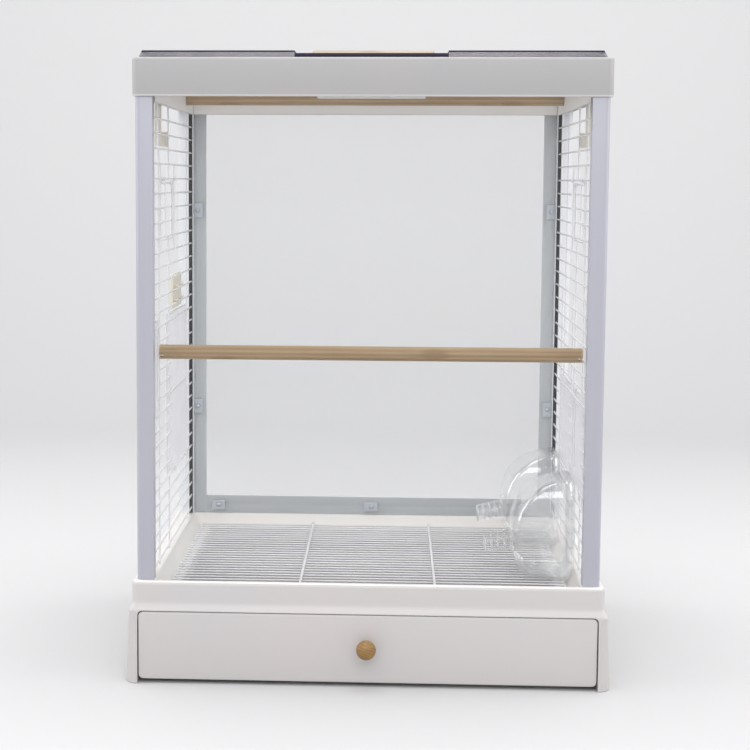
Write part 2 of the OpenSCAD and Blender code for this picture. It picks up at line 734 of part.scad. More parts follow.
module feeder_cup(y) {
    w = feeder_w;
    t = feeder_wall;
    color(clear_plastic) difference() {
        union() {
            feeder_frame(y) translate([0, 0, -w / 2]) linear_extrude(w) polygon(feeder_outline(0, cup_h));
            feeder_frame(y) feeder_step(w * 0.6);
            // hooks over a level wire
            for (s = [-1, 1])
                feeder_frame(y) translate([0, 0, s * 24 - 5]) linear_extrude(10)
                    polygon([[1, lean_h + 2], [1, hook_h], [-hook_reach, hook_h], [-hook_reach, hook_h - 8],
                             [-hook_reach + 1.6, hook_h - 8], [-hook_reach + 1.6, hook_h - 2.2],
                             [0, hook_h - 2.2], [0, lean_h + 2]]);
        }
        feeder_frame(y) translate([0, 0, -w / 2 + t]) linear_extrude(w - 2 * t)
            polygon(feeder_outline(t, cup_h + 1));
    }
}
hook_h = level_z(hook_k) + wire_d / 2 + 0.3 + 2.2 - feeder_z;
hook_reach = upright_x - wire_d / 2 - feeder_x + 1.9;

module feeder_hood(y) {
    w = feeder_w;
    t = feeder_wall;
    color(clear_plastic) difference() {
        feeder_frame(y) translate([0, 0, -w / 2]) linear_extrude(w) polygon(hood_outline(0));
        feeder_frame(y) translate([0, 0, -w / 2 + t]) linear_extrude(w - 2 * t) polygon(hood_outline(t));
        feeder_frame(y) translate([t, 0, -w / 2 + t]) cube([feeder_depth - 2 * t, cup_h + 2, w - 2 * t]);
        // mouth
        feeder_frame(y) translate([feeder_depth - 14, cup_h - 1, -w / 2 + 11]) cube([22, 34, w - 22]);
        // room for the cup's hooks
        for (s = [-1, 1])
            feeder_frame(y) translate([-1, cup_h - 1, s * 24 - 6]) cube([1 + t + 1, 12, 12]);
    }
}

module front_feeder_cup() { feeder_cup(feeder_y[0]); }
module front_feeder_hood() { feeder_hood(feeder_y[0]); }
module rear_feeder_cup() { feeder_cup(feeder_y[1]); }
module rear_feeder_hood() { feeder_hood(feeder_y[1]); }

// ---- roof and handle ----

module roof_lid() {
    c = channel_w / 2;
    t = roof_t;
    drop = roof_top - channel_top;
    color(smoked) difference() {
        union() {
            // one sheet: flat wings, a sunken channel between them and a sloping edge at each side
            translate([0, roof_rear, 0]) rotate([90, 0, 0]) linear_extrude(roof_rear - roof_front)
                polygon(concat(
                    [[roof_hx, roof_z], [roof_hx - 3.4, roof_top], [c, roof_top], [c - 1.2, channel_top]],
                    [[-c + 1.2, channel_top], [-c, roof_top], [-roof_hx + 3.4, roof_top], [-roof_hx, roof_z]],
                    [[-roof_hx + t, roof_z], [-roof_hx + 3.4 + t * 0.7, roof_top - t], [-c - t, roof_top - t],
                     [-c - t + 1.2, channel_top - t]],
                    [[c + t - 1.2, channel_top - t], [c + t, roof_top - t],
                     [roof_hx - 3.4 - t * 0.7, roof_top - t], [roof_hx - t, roof_z]]));
            // front and rear skirts
            for (y = [roof_front, roof_rear - t])
                translate([0, y + t, 0]) rotate([90, 0, 0]) linear_extrude(t)
                    polygon([[roof_hx, roof_z], [roof_hx - 3.4, roof_top], [c, roof_top], [c - 1.2, channel_top],
                        [-c + 1.2, channel_top], [-c, roof_top], [-roof_hx + 3.4, roof_top], [-roof_hx, roof_z]]);
            // hinge knuckles
            for (x = hinge_x) {
                bar_x(x - knuckle_l / 2, x + knuckle_l / 2, hinge_y, hinge_z, knuckle_d);
                block([x - knuckle_l / 2, roof_rear - 1, hinge_z - 1.2], [x + knuckle_l / 2, hinge_y, hinge_z + 1.8]);
            }
        }
        for (x = hinge_x) bar_x(x - knuckle_l, x + knuckle_l, hinge_y, hinge_z, hinge_pin_d + 0.1);
    }
}

module roof_hinge_pins() {
    color(grey) for (x = hinge_x)
        bar_x(x - 1.5 * knuckle_l - 1.4, x + 1.5 * knuckle_l + 1.4, hinge_y, hinge_z, hinge_pin_d);
}

bracket_x = arm_x - bail_d / 2 - 6;

module handle_brackets() {
    color(white) for (s = [-1, 1]) difference() {
        union() {
            block([s * bracket_x - 2.5, arm_y - 9, channel_top + gap], [s * bracket_x + 2.5, arm_y + 9, channel_top + 3]);
            block([s * bracket_x - 2.5, arm_y - 5, channel_top + 1], [s * bracket_x + 2.5, arm_y + 5, grip_z]);
            bar_x(s * bracket_x - 2.5, s * bracket_x + 2.5, arm_y, grip_z, 10);
        }
        bar_x(s * bracket_x - 5, s * bracket_x + 5, arm_y, grip_z, bail_d + 0.1);
    }
}

// Bent rod: through the grip, back along both arms and inwards through the brackets
module handle_bail() {
    r = 6;
    module bend(x, y, turn)
        translate([x, y, grip_z]) rotate([0, 0, turn]) rotate_extrude(angle = 90)
            translate([r, 0]) circle(d = bail_d);
    color(grey) {
        bar_x(-arm_x + r, arm_x - r, grip_y, grip_z, bail_d);
        both_sides() {
            bend(arm_x - r, grip_y + r, -90);
            bar_y(arm_x, grip_y + r, arm_y - r, grip_z, bail_d);
            bend(arm_x - r, arm_y - r, 0);
            bar_x(bracket_x - 5, arm_x - r, arm_y, grip_z, bail_d);
        }
    }
}

module handle_grip() {
    r = 2;
    l = min(grip_l, 2 * (arm_x - 6) - 0.4);
    color(wood) translate([0, grip_y, grip_z]) rotate([0, 90, 0]) rotate_extrude()
        polygon(concat([[bail_d / 2 + 0.1, -l / 2]],
            [for (a = [-90:30:0]) [grip_d / 2 - r + r * cos(a), -l / 2 + r + r * sin(a)]],
            [for (a = [0:30:90]) [grip_d / 2 - r + r * cos(a), l / 2 - r + r * sin(a)]],
            [[bail_d / 2 + 0.1, l / 2]]));
}

base_shell();
floor_grate();
drawer();
drawer_knob();
knob_screw();
front_left_post();
front_right_post();
rear_left_post();
rear_right_post();
rear_rail();
front_panel();
front_panel_pull();
rear_panel();
panel_clips();
clip_screws();
cap_frame();
left_roof_buckle();
right_roof_buckle();
left_wire_wall();
right_wire_wall();
door_hinge_loops();
entry_door();
entry_latch();
left_feeder_door();
left_upper_door();
right_upper_door();
front_feeder_door();
rear_feeder_door();
lower_perch();
upper_perch();
front_feeder_cup();
front_feeder_hood();
rear_feeder_cup();
rear_feeder_hood();
roof_lid();
roof_hinge_pins();
handle_brackets();
handle_bail();
handle_grip();
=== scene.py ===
# %% [markdown]
# # A square bird cage
#
# The cage is a moulded white base with a drawer, four painted posts, clear panels at the front and rear,
# wire side walls with small doors, two wooden perches, two clear feeders, a moulded cap and a smoked clear
# roof with a folding handle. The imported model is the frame: it says where every piece is and what it moves
# with. This script gives each piece its finished shape and surface. It works in metres, with +Z up and the
# front facing -Y.

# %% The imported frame
import math
import random

import bmesh
import bpy
from mathutils import Euler, Matrix, Vector


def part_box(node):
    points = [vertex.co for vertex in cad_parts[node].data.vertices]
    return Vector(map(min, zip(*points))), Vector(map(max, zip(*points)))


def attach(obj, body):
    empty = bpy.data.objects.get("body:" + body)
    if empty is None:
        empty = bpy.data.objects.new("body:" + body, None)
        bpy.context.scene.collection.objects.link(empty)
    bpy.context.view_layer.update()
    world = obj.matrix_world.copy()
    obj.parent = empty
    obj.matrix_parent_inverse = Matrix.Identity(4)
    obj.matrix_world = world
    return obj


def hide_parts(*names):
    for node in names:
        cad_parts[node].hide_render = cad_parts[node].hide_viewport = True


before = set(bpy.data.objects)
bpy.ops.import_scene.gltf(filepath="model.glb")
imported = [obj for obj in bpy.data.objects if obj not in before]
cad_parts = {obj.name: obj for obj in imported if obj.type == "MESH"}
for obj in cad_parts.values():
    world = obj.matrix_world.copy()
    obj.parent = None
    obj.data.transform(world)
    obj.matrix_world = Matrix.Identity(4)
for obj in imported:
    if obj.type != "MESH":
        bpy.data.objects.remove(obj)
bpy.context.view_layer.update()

MM = 0.001
WALL = 3 * MM                   # wall of the moulded base and cap
CAP_HEIGHT = 38 * MM
RIM_OUT = 2.4 * MM              # the base's rim stands out this far past the cap

cap_lo, cap_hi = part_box("cap_frame")
post_lo, post_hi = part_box("front_right_post")
HALF = cap_hi.x                 # half the cap's width
FRONT, REAR = cap_lo.y, cap_hi.y
MIDDLE = (FRONT + REAR) / 2
RIM_TOP = post_lo.z             # the posts stand on the base's rim
CAGE_TOP = post_hi.z + WALL
CAP_BOTTOM = CAGE_TOP - CAP_HEIGHT
print(f"cap {HALF * 2:.3f} x {REAR - FRONT:.3f} m, rim at {RIM_TOP:.3f}, top at {CAGE_TOP:.3f}")

# %% [markdown]
# ## The camera
#
# The cage is seen from the front, a little to its right and from above its middle, with a long lens. The
# lens is moved sideways on the sensor by a ninth of its width, because the cage stands left of the
# picture's centre while its upright edges stay nearly parallel. Turning the camera towards the cage would
# have skewed its front.

# %% The camera
YAW, PITCH, ROLL = -0.0548, 0.1072, 0.0043
camera = bpy.data.objects.new("camera", bpy.data.cameras.new("camera"))
bpy.context.scene.collection.objects.link(camera)
camera.data.sensor_width = 36
camera.data.lens = 86.78
camera.data.shift_x = 0.1133
camera.data.clip_start = 0.1
camera.location = (0.01972, FRONT - 1.78005, 0.50592)
look = Vector((math.sin(YAW) * math.cos(PITCH), math.cos(YAW) * math.cos(PITCH), -math.sin(PITCH)))
level = Vector((math.cos(YAW), -math.sin(YAW), 0))
rise = level.cross(look)
right = level * math.cos(ROLL) + rise * math.sin(ROLL)
up = rise * math.cos(ROLL) - level * math.sin(ROLL)
camera.rotation_euler = Matrix((right, up, -look)).transposed().to_euler()
bpy.context.scene.camera = camera
print("camera at", tuple(round(c, 3) for c in camera.location))

# %% [markdown]
# ## Building shaders
#
# Every finish is a small node tree. Two helpers keep them short: one adds a node with its settings, one
# starts a material and hands back its Principled BSDF. Plain numbers go on the shader's own sockets.


# %% Helpers for shaders
def add(tree, kind, links=(), **values):
    """Adds a node. Upper-case or digit-led values are sockets by name, others are properties."""
    node = tree.nodes.new(kind)
    for key, value in values.items():
        if hasattr(node, key):
            setattr(node, key, value)
        else:
            node.inputs[key.replace("_", " ")].default_value = value
    for socket, source in dict(links).items():
        tree.links.new(source, node.inputs[socket])
    return node


def start_material(name, **sockets):
    material = bpy.data.materials.new(name)
    material.use_nodes = True
    tree = material.node_tree
    shader = tree.nodes["Principled BSDF"]
    for key, value in sockets.items():
        shader.inputs[key.replace("_", " ")].default_value = value
    return material, tree, shader


def start_group(name, inputs, outputs):
    """A node group with named inputs {name: default} and outputs {name: kind}."""
    group = bpy.data.node_groups.new(name, "ShaderNodeTree")
    kinds = {float: "NodeSocketFloat", tuple: "NodeSocketColor", str: "NodeSocketVector"}
    for key, value in inputs.items():
        socket = group.interface.new_socket(key, in_out="INPUT", socket_type=kinds[type(value)])
        if not isinstance(value, str):
            socket.default_value = value
    for key, kind in outputs.items():
        group.interface.new_socket(key, in_out="OUTPUT", socket_type="NodeSocket" + kind)
    return group, add(group, "NodeGroupInput"), add(group, "NodeGroupOutput")


def place_group(tree, group, vector, **values):
    node = tree.nodes.new("ShaderNodeGroup")
    node.node_tree = group
    tree.links.new(vector, node.inputs["Vector"])
    for key, value in values.items():
        node.inputs[key.replace("_", " ")].default_value = value
    return node


def object_coordinates(tree, turn=(0, 0, 0), stretch=(1, 1, 1)):
    source = add(tree, "ShaderNodeTexCoord").outputs["Object"]
    mapping = add(tree, "ShaderNodeMapping", {"Vector": source})
    mapping.inputs["Rotation"].default_value = [math.radians(a) for a in turn]
    mapping.inputs["Scale"].default_value = stretch
    return mapping.outputs["Vector"]


def bump(tree, shader, height, strength, distance):
    node = add(tree, "ShaderNodeBump", {"Height": height}, Strength=strength, Distance=distance)
    tree.links.new(node.outputs["Normal"], shader.inputs["Normal"])


# %% [markdown]
# ## Shared surface effects
#
# Moulded plastic and sprayed paint are never quite even. Plastic has slow, cloudy changes of colour and a
# faint orange peel; paint has a finer one. Both materials use the same group with their own sizes. It gives
# a colour, a roughness and a height, and the shader itself stays in each material.


# %% Group: cloudy, slightly uneven coating
def coating_group():
    group, start, end = start_group(
        "Uneven coating",
        {"Vector": "", "Colour": (0.8, 0.8, 0.8, 1), "Tint": (0.8, 0.8, 0.8, 1), "Cloud Scale": 9.0,
         "Peel Scale": 600.0, "Roughness": 0.35, "Roughness Change": 0.1},
        {"Colour": "Color", "Roughness": "Float", "Height": "Float"})
    vector = start.outputs["Vector"]
    cloud = add(group, "ShaderNodeTexNoise", {"Vector": vector, "Scale": start.outputs["Cloud Scale"]},
                Detail=3.0, Roughness=0.55)
    peel = add(group, "ShaderNodeTexNoise", {"Vector": vector, "Scale": start.outputs["Peel Scale"]},
               Detail=2.0)
    smudge = add(group, "ShaderNodeTexNoise", {"Vector": vector}, Scale=38.0, Detail=5.0, Roughness=0.65)
    spread = add(group, "ShaderNodeMapRange", {"Value": cloud.outputs["Fac"]}, clamp=True)
    spread.inputs["From Min"].default_value = 0.32
    spread.inputs["From Max"].default_value = 0.68
    mix = add(group, "ShaderNodeMix", data_type="RGBA")
    group.links.new(spread.outputs["Result"], mix.inputs["Factor"])
    group.links.new(start.outputs["Colour"], mix.inputs["A"])
    group.links.new(start.outputs["Tint"], mix.inputs["B"])
    centred = add(group, "ShaderNodeMath", {0: smudge.outputs["Fac"]}, operation="SUBTRACT")
    centred.inputs[1].default_value = 0.5
    change = add(group, "ShaderNodeMath",
                 {0: centred.outputs[0], 1: start.outputs["Roughness Change"], 2: start.outputs["Roughness"]},
                 operation="MULTIPLY_ADD")
    group.links.new(mix.outputs["Result"], end.inputs["Colour"])
    group.links.new(change.outputs[0], end.inputs["Roughness"])
    group.links.new(peel.outputs["Fac"], end.inputs["Height"])
    return group


COATING = coating_group()


def coated(name, colour, tint, roughness, peel=600.0, strength=0.06, cloud=9.0, depth=0.0004, **sockets):
    """A material that wears the uneven coating."""
    material, tree, shader = start_material(name, **sockets)
    node = place_group(tree, COATING, object_coordinates(tree), Colour=(*colour, 1), Tint=(*tint, 1),
                       Cloud_Scale=cloud, Peel_Scale=peel, Roughness=roughness)
    tree.links.new(node.outputs["Colour"], shader.inputs["Base Color"])
    tree.links.new(node.outputs["Roughness"], shader.inputs["Roughness"])
    bump(tree, shader, node.outputs["Height"], strength, depth)
    return material


white_plastic = coated("moulded_white_plastic", (0.60, 0.57, 0.555), (0.58, 0.565, 0.565), 0.36, IOR=1.5)
# A darker copy of the same white plastic: painted shade on the cap.
cap_plastic = coated("moulded_cap_painted_shade", (0.425, 0.415, 0.415), (0.405, 0.405, 0.41), 0.38, IOR=1.5)
# A lighter copy of the white plastic: painted light on the base's rim and inside, and inside the cap.
inner_plastic_painted_light = coated("inner_plastic_painted_light", (0.87, 0.84, 0.80), (0.85, 0.83, 0.80), 0.4, IOR=1.5)
cream_plastic = coated("cream_plastic", (0.83, 0.79, 0.66), (0.80, 0.76, 0.63), 0.38, cloud=40.0)
bright_plastic = coated("bright_white_plastic", (0.86, 0.86, 0.85), (0.84, 0.84, 0.84), 0.3, cloud=40.0)
grey_plastic = coated("grey_clip_plastic", (0.56, 0.60, 0.65), (0.52, 0.56, 0.61), 0.35, cloud=60.0)
post_paint = coated("post_paint", (0.435, 0.435, 0.495), (0.42, 0.43, 0.49), 0.34, peel=1100.0, strength=0.09,
                    cloud=5.0, Coat_Weight=0.25, Coat_Roughness=0.2)
# A much lighter copy of the posts' paint: painted light on the rear posts and the rear rail, which wear the
# same paint as the front posts.
rear_painted_light = coated("rear_posts_painted_light", (0.90, 0.915, 0.94), (0.87, 0.89, 0.925), 0.33, peel=1100.0,
                    strength=0.09, cloud=5.0, Coat_Weight=0.3, Coat_Roughness=0.2)
# Nearly black: painted shade inside the rear posts' deep grooves.
groove_painted_shade = coated("groove_painted_shade", (0.035, 0.037, 0.045), (0.05, 0.052, 0.06), 0.5, cloud=40.0)
wire_paint = coated("white_wire_paint", (0.84, 0.84, 0.86), (0.80, 0.80, 0.83), 0.26, peel=900.0,
                    strength=0.12, cloud=25.0, Coat_Weight=0.4, Coat_Roughness=0.12)
print("coated materials:", sum(1 for m in bpy.data.materials if m.use_nodes))

# %% [markdown]
# ## Wood
#
# The perches, the grip and the knob are turned from pale wood. Grain is noise stretched along the stick,
# over growth rings that show as slow bands, with a few knots where a branch grew. A mapping turns the
# pattern so that its long way runs along each stick, which leaves the group itself the same for all three.


# %% Group: wood grain along X
def wood_group():
    group, start, end = start_group(
        "Wood grain",
        {"Vector": "", "Light": (0.6, 0.5, 0.35, 1), "Dark": (0.4, 0.3, 0.2, 1), "Grain Scale": 160.0,
         "Ring Scale": 70.0, "Knots": 0.5},
        {"Colour": "Color", "Roughness": "Float", "Height": "Float"})
    along = add(group, "ShaderNodeMapping", {"Vector": start.outputs["Vector"]})
    along.inputs["Scale"].default_value = (0.045, 1, 1)
    grain = add(group, "ShaderNodeTexNoise",
                {"Vector": along.outputs["Vector"], "Scale": start.outputs["Grain Scale"]},
                Detail=6.0, Roughness=0.62, Distortion=0.4)
    fibre = add(group, "ShaderNodeTexNoise", {"Vector": along.outputs["Vector"]}, Scale=900.0, Detail=3.0)
    ring_vector = add(group, "ShaderNodeMapping", {"Vector": start.outputs["Vector"]})
    ring_vector.inputs["Scale"].default_value = (0.06, 1, 1)
    ring_vector.inputs["Location"].default_value = (0, 0.021, 0.013)
    rings = add(group, "ShaderNodeTexWave",
                {"Vector": ring_vector.outputs["Vector"], "Scale": start.outputs["Ring Scale"]},
                wave_type="RINGS", rings_direction="X", Distortion=2.2, Detail=2.0)
    knot_vector = add(group, "ShaderNodeMapping", {"Vector": start.outputs["Vector"]})
    knot_vector.inputs["Scale"].default_value = (14, 30, 30)
    cells = add(group, "ShaderNodeTexVoronoi", {"Vector": knot_vector.outputs["Vector"]}, Randomness=1.0)
    cells.inputs["Scale"].default_value = 1.0
    knot = add(group, "ShaderNodeMapRange", {"Value": cells.outputs["Distance"]}, clamp=True)
    for socket, value in {"From Min": 0.24, "From Max": 0.1, "To Min": 0.0, "To Max": 1.0}.items():
        knot.inputs[socket].default_value = value
    knot_amount = add(group, "ShaderNodeMath", {0: knot.outputs["Result"], 1: start.outputs["Knots"]},
                      operation="MULTIPLY")
    share = add(group, "ShaderNodeMath", {0: rings.outputs["Fac"]}, operation="MULTIPLY_ADD")
    share.inputs[1].default_value = 0.35
    group.links.new(grain.outputs["Fac"], share.inputs[2])
    spread = add(group, "ShaderNodeMapRange", {"Value": share.outputs[0]}, clamp=True)
    spread.inputs["From Min"].default_value = 0.35
    spread.inputs["From Max"].default_value = 0.98
    with_knots = add(group, "ShaderNodeMath", {0: spread.outputs["Result"], 1: knot_amount.outputs[0]},
                     operation="ADD", use_clamp=True)
    mix = add(group, "ShaderNodeMix", data_type="RGBA")
    group.links.new(with_knots.outputs[0], mix.inputs["Factor"])
    group.links.new(start.outputs["Light"], mix.inputs["A"])
    group.links.new(start.outputs["Dark"], mix.inputs["B"])
    rough = add(group, "ShaderNodeMapRange", {"Value": grain.outputs["Fac"]})
    rough.inputs["To Min"].default_value = 0.42
    rough.inputs["To Max"].default_value = 0.66
    height = add(group, "ShaderNodeMath", {0: grain.outputs["Fac"], 1: fibre.outputs["Fac"]}, operation="ADD")
    group.links.new(mix.outputs["Result"], end.inputs["Colour"])
    group.links.new(rough.outputs["Result"], end.inputs["Roughness"])
    group.links.new(height.outputs[0], end.inputs["Height"])
    return group


WOOD = wood_group()


def wooden(name, light, dark, knots, turn=(0, 0, 0), rings=70.0, strength=0.25, **sockets):
    material, tree, shader = start_material(name, **sockets)
    node = place_group(tree, WOOD, object_coordinates(tree, turn), Light=(*light, 1), Dark=(*dark, 1),
                       Ring_Scale=rings, Knots=knots)
    tree.links.new(node.outputs["Colour"], shader.inputs["Base Color"])
    tree.links.new(node.outputs["Roughness"], shader.inputs["Roughness"])
    bump(tree, shader, node.outputs["Height"], strength, 0.0003)
    return material


perch_wood = wooden("perch_wood", (0.48, 0.345, 0.195), (0.31, 0.20, 0.10), 0.6)
grip_wood = wooden("grip_wood", (0.46, 0.38, 0.27), (0.28, 0.205, 0.13), 0.3, rings=90.0)
knob_wood = wooden("knob_wood", (0.34, 0.195, 0.055), (0.22, 0.115, 0.026), 0.2, turn=(0, 0, 90), rings=120.0,
                   strength=0.12, Coat_Weight=0.4, Coat_Roughness=0.2)
print("wood group has", len(WOOD.nodes), "nodes")

# %% [markdown]
# ## Clear plastic
#
# A polished clear sheet shows nothing of its own: it lets most light through and mirrors a little, more the
# flatter it is looked at. So the shader is a mirror and its opacity is the Fresnel share, which sits in the
# material itself, plus a haze for sheets that are tinted. A thin film of dust and wipe marks, made with
# stretched noise, keeps it from looking like empty air. The feeders' opacity is limited, or their many
# walls would add up to dark outlines. The smoked roof is dyed through: a grey, glossy sheet whose opacity
# rises quickly as it is looked at more flatly, with nearly black edges.


# %% Group: dust and wipe marks, and the clear materials
def film_group():
    group, start, end = start_group("Dust film", {"Vector": "", "Amount": 0.1}, {"Mask": "Float"})
    wipe_vector = add(group, "ShaderNodeMapping", {"Vector": start.outputs["Vector"]})
    wipe_vector.inputs["Scale"].default_value = (1, 1, 0.25)
    wipe_vector.inputs["Rotation"].default_value = (0, 0.5, 0)
    wipe = add(group, "ShaderNodeTexNoise", {"Vector": wipe_vector.outputs["Vector"]}, Scale=7.0, Detail=6.0,
               Roughness=0.6)
    specks = add(group, "ShaderNodeTexNoise", {"Vector": start.outputs["Vector"]}, Scale=420.0, Detail=2.0)
    speck = add(group, "ShaderNodeMapRange", {"Value": specks.outputs["Fac"]}, clamp=True)
    speck.inputs["From Min"].default_value = 0.66
    speck.inputs["From Max"].default_value = 0.78
    both = add(group, "ShaderNodeMath", {0: wipe.outputs["Fac"], 1: speck.outputs["Result"]}, operation="ADD")
    amount = add(group, "ShaderNodeMath", {0: both.outputs[0], 1: start.outputs["Amount"]},
                 operation="MULTIPLY")
    group.links.new(amount.outputs[0], end.inputs["Mask"])
    return group


FILM = film_group()


def clear(name, colour, haze, gain, roughness=0.04, dust=0.01, most=1.0):
    """Clear plastic: haze is added to its Fresnel reflection, which gain multiplies, up to most."""
    material, tree, shader = start_material(name, Base_Color=(*colour, 1), Roughness=roughness, Metallic=1.0)
    mirror = add(tree, "ShaderNodeFresnel", IOR=1.49)
    film = place_group(tree, FILM, object_coordinates(tree), Amount=dust)
    rest = add(tree, "ShaderNodeMath", {0: film.outputs["Mask"]}, operation="ADD")
    rest.inputs[1].default_value = haze
    total = add(tree, "ShaderNodeMath", {0: mirror.outputs["Fac"], 2: rest.outputs[0]},
                operation="MULTIPLY_ADD", use_clamp=True)
    total.inputs[1].default_value = gain
    limit = add(tree, "ShaderNodeMath", {0: total.outputs[0]}, operation="MINIMUM")
    limit.inputs[1].default_value = most
    tree.links.new(limit.outputs[0], shader.inputs["Alpha"])
    return material


def smoked(name, colour, face_on, glancing, roughness, blend, ior=1.5):
    """Dyed clear plastic: face_on and glancing are its opacities at those angles."""
    material, tree, shader = start_material(name, Base_Color=(*colour, 1), Roughness=roughness, IOR=ior)
    facing = add(tree, "ShaderNodeLayerWeight", Blend=blend)
    angle = add(tree, "ShaderNodeMapRange", {"Value": facing.outputs["Facing"]}, clamp=True)
    angle.inputs["To Min"].default_value = face_on
    angle.inputs["To Max"].default_value = glancing
    film = place_group(tree, FILM, object_coordinates(tree), Amount=0.006)
    total = add(tree, "ShaderNodeMath", {0: angle.outputs["Result"], 1: film.outputs["Mask"]},
                operation="ADD", use_clamp=True)
    tree.links.new(total.outputs[0], shader.inputs["Alpha"])
    return material


front_sheet = clear("front_sheet", (0.90, 0.93, 0.93), 0.0, 0.6)
rear_sheet = clear("rear_sheet", (0.62, 0.665, 0.66), 0.07, 0.7, roughness=0.3)
sheet_edge = clear("sheet_edge", (0.93, 0.96, 0.97), 0.8, 1.0, roughness=0.35)
feeder_clear = clear("feeder_plastic", (0.93, 0.94, 0.95), 0.03, 1.2, roughness=0.09, most=0.42)
smoked_sheet = smoked("smoked_sheet", (0.34, 0.32, 0.37), 0.3, 0.8, 0.08, 0.3)
smoked_edge = smoked("smoked_edge", (0.035, 0.03, 0.055), 0.96, 1.0, 0.5, 0.5, ior=1.15)
# A line of sight can cross a dozen clear faces, through a panel, two feeders and the panel behind.
bpy.context.scene.cycles.transparent_max_bounces = 32
print("clear materials:", front_sheet.name, rear_sheet.name, feeder_clear.name, smoked_sheet.name)

# %% [markdown]
# ## Metal
#
# The screws, the hinge pins and the bent handle rod are bare. Their brightness comes from reflections, so
# the surface only needs fine turning marks in its roughness and a trace of tarnish in its colour.


# %% Bare metal
def bare_metal(name, colour, roughness):
    material, tree, shader = start_material(name, Metallic=1.0)
    node = place_group(tree, COATING, object_coordinates(tree, stretch=(1, 6, 1)), Colour=(*colour, 1),
                       Tint=(*[c * 0.86 for c in colour], 1), Cloud_Scale=120.0, Peel_Scale=1500.0,
                       Roughness=roughness, Roughness_Change=0.35)
    tree.links.new(node.outputs["Colour"], shader.inputs["Base Color"])
    tree.links.new(node.outputs["Roughness"], shader.inputs["Roughness"])
    bump(tree, shader, node.outputs["Height"], 0.08, 0.0002)
    return material


screw_steel = bare_metal("screw_steel", (0.62, 0.63, 0.65), 0.32)
rod_steel = bare_metal("rod_steel", (0.66, 0.66, 0.67), 0.24)

# %% [markdown]
# ## Making pieces
#
# Most of the cage is either a moulding, whose outline changes level by level, or a prism with softened
# edges. The first is a stack of rounded rectangles joined into one skin. The second starts from a copy of
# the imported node: its loose triangles are merged, its flat areas joined into single faces, and a Bevel
# rounds its edges.


# %% Helpers for meshes
def finish_piece(obj, material, body, *nodes, slot=None, angle=32):
    """Turns the evaluated object into a plain mesh at the origin, gives it its finish and its body."""
    evaluated = obj.evaluated_get(bpy.context.evaluated_depsgraph_get())
    mesh = bpy.data.meshes.new_from_object(evaluated)
    obj.modifiers.clear()
    obj.data = mesh
    if material is not None:
        mesh.materials.clear()
        mesh.materials.append(material)
    mesh.shade_smooth()
    mesh.set_sharp_from_angle(angle=math.radians(angle))
    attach(obj, body)
    if nodes:
        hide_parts(*nodes)
    return obj


def new_object(name, bm):
    mesh = bpy.data.meshes.new(name)
    bm.to_mesh(mesh)
    bm.free()
    obj = bpy.data.objects.new(name, mesh)
    bpy.context.scene.collection.objects.link(obj)
    return obj


def bevel(obj, width, segments=3, angle=35, edge_material=None):
    modifier = obj.modifiers.new("soft edges", "BEVEL")
    modifier.width = width
    modifier.segments = segments
    modifier.limit_method = "ANGLE"
    modifier.angle_limit = math.radians(angle)
    if edge_material is not None:
        modifier.material = edge_material
    return modifier


def merged_copy(node):
    """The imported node's mesh with its triangles merged and its flat areas joined."""
    bm = bmesh.new()
    bm.from_mesh(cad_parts[node].data)
    bmesh.ops.remove_doubles(bm, verts=bm.verts, dist=0.003 * MM)
    bmesh.ops.dissolve_limit(bm, angle_limit=math.radians(0.4), verts=bm.verts, edges=bm.edges)
    return bm


def softened(name, node, width, material, body, slot=None, segments=3):
    """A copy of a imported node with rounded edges, which stands for it."""
    obj = new_object(name, merged_copy(node))
    bevel(obj, width, segments)
    return finish_piece(obj, material, body, node, slot=slot)


def turn_outwards(bm):
    bmesh.ops.recalc_face_normals(bm, faces=bm.faces)
    if bm.calc_volume(signed=True) < 0:
        bmesh.ops.reverse_faces(bm, faces=bm.faces)


def ring(x0, x1, y0, y1, z, r, steps=7):
    """A level rounded rectangle, counter-clockwise seen from above."""
    r = max(r, 0.02 * MM)
    centres = ((x1 - r, y1 - r, 0), (x0 + r, y1 - r, 90), (x0 + r, y0 + r, 180), (x1 - r, y0 + r, 270))
    turns = [(cx, cy, math.radians(a + 90 * i / steps)) for cx, cy, a in centres for i in range(steps + 1)]
    return [(cx + r * math.cos(t), cy + r * math.sin(t), z) for cx, cy, t in turns]


def stack(name, rings, closed=False, place=Matrix.Identity(4)):
    """One skin through the rings. A closed stack joins its last ring to its first, others are capped."""
    bm = bmesh.new()
    loops = [[bm.verts.new(place @ Vector(p)) for p in points] for points in rings]
    pairs = list(zip(loops, loops[1:] + ([loops[0]] if closed else [])))
    for low, high in pairs:
        for i, vertex in enumerate(low):
            j = (i + 1) % len(low)
            bm.faces.new((vertex, low[j], high[j], high[i]))
    if not closed:
        bm.faces.new(list(reversed(loops[0])))
        bm.faces.new(loops[-1])
    turn_outwards(bm)
    return new_object(name, bm)


def block(name, lo, hi, width, segments=3):
    """A block from corner to corner with bevelled edges."""
    bm = bmesh.new()
    bmesh.ops.create_cube(bm, size=1)
    for vertex in bm.verts:
        vertex.co = [a if c < 0 else b for c, a, b in zip(vertex.co, lo, hi)]
    obj = new_object(name, bm)
    bevel(obj, width, segments)
    return obj


def carve(obj, tool):
    """Takes the tool object's shape out of an object, and removes the tool."""
    modifier = obj.modifiers.new("cut", "BOOLEAN")
    modifier.operation = "DIFFERENCE"
    modifier.solver = "EXACT"
    modifier.object = tool
    evaluated = obj.evaluated_get(bpy.context.evaluated_depsgraph_get())
    mesh = bpy.data.meshes.new_from_object(evaluated)
    obj.modifiers.clear()
    obj.data = mesh
    bpy.data.objects.remove(tool)
    return obj


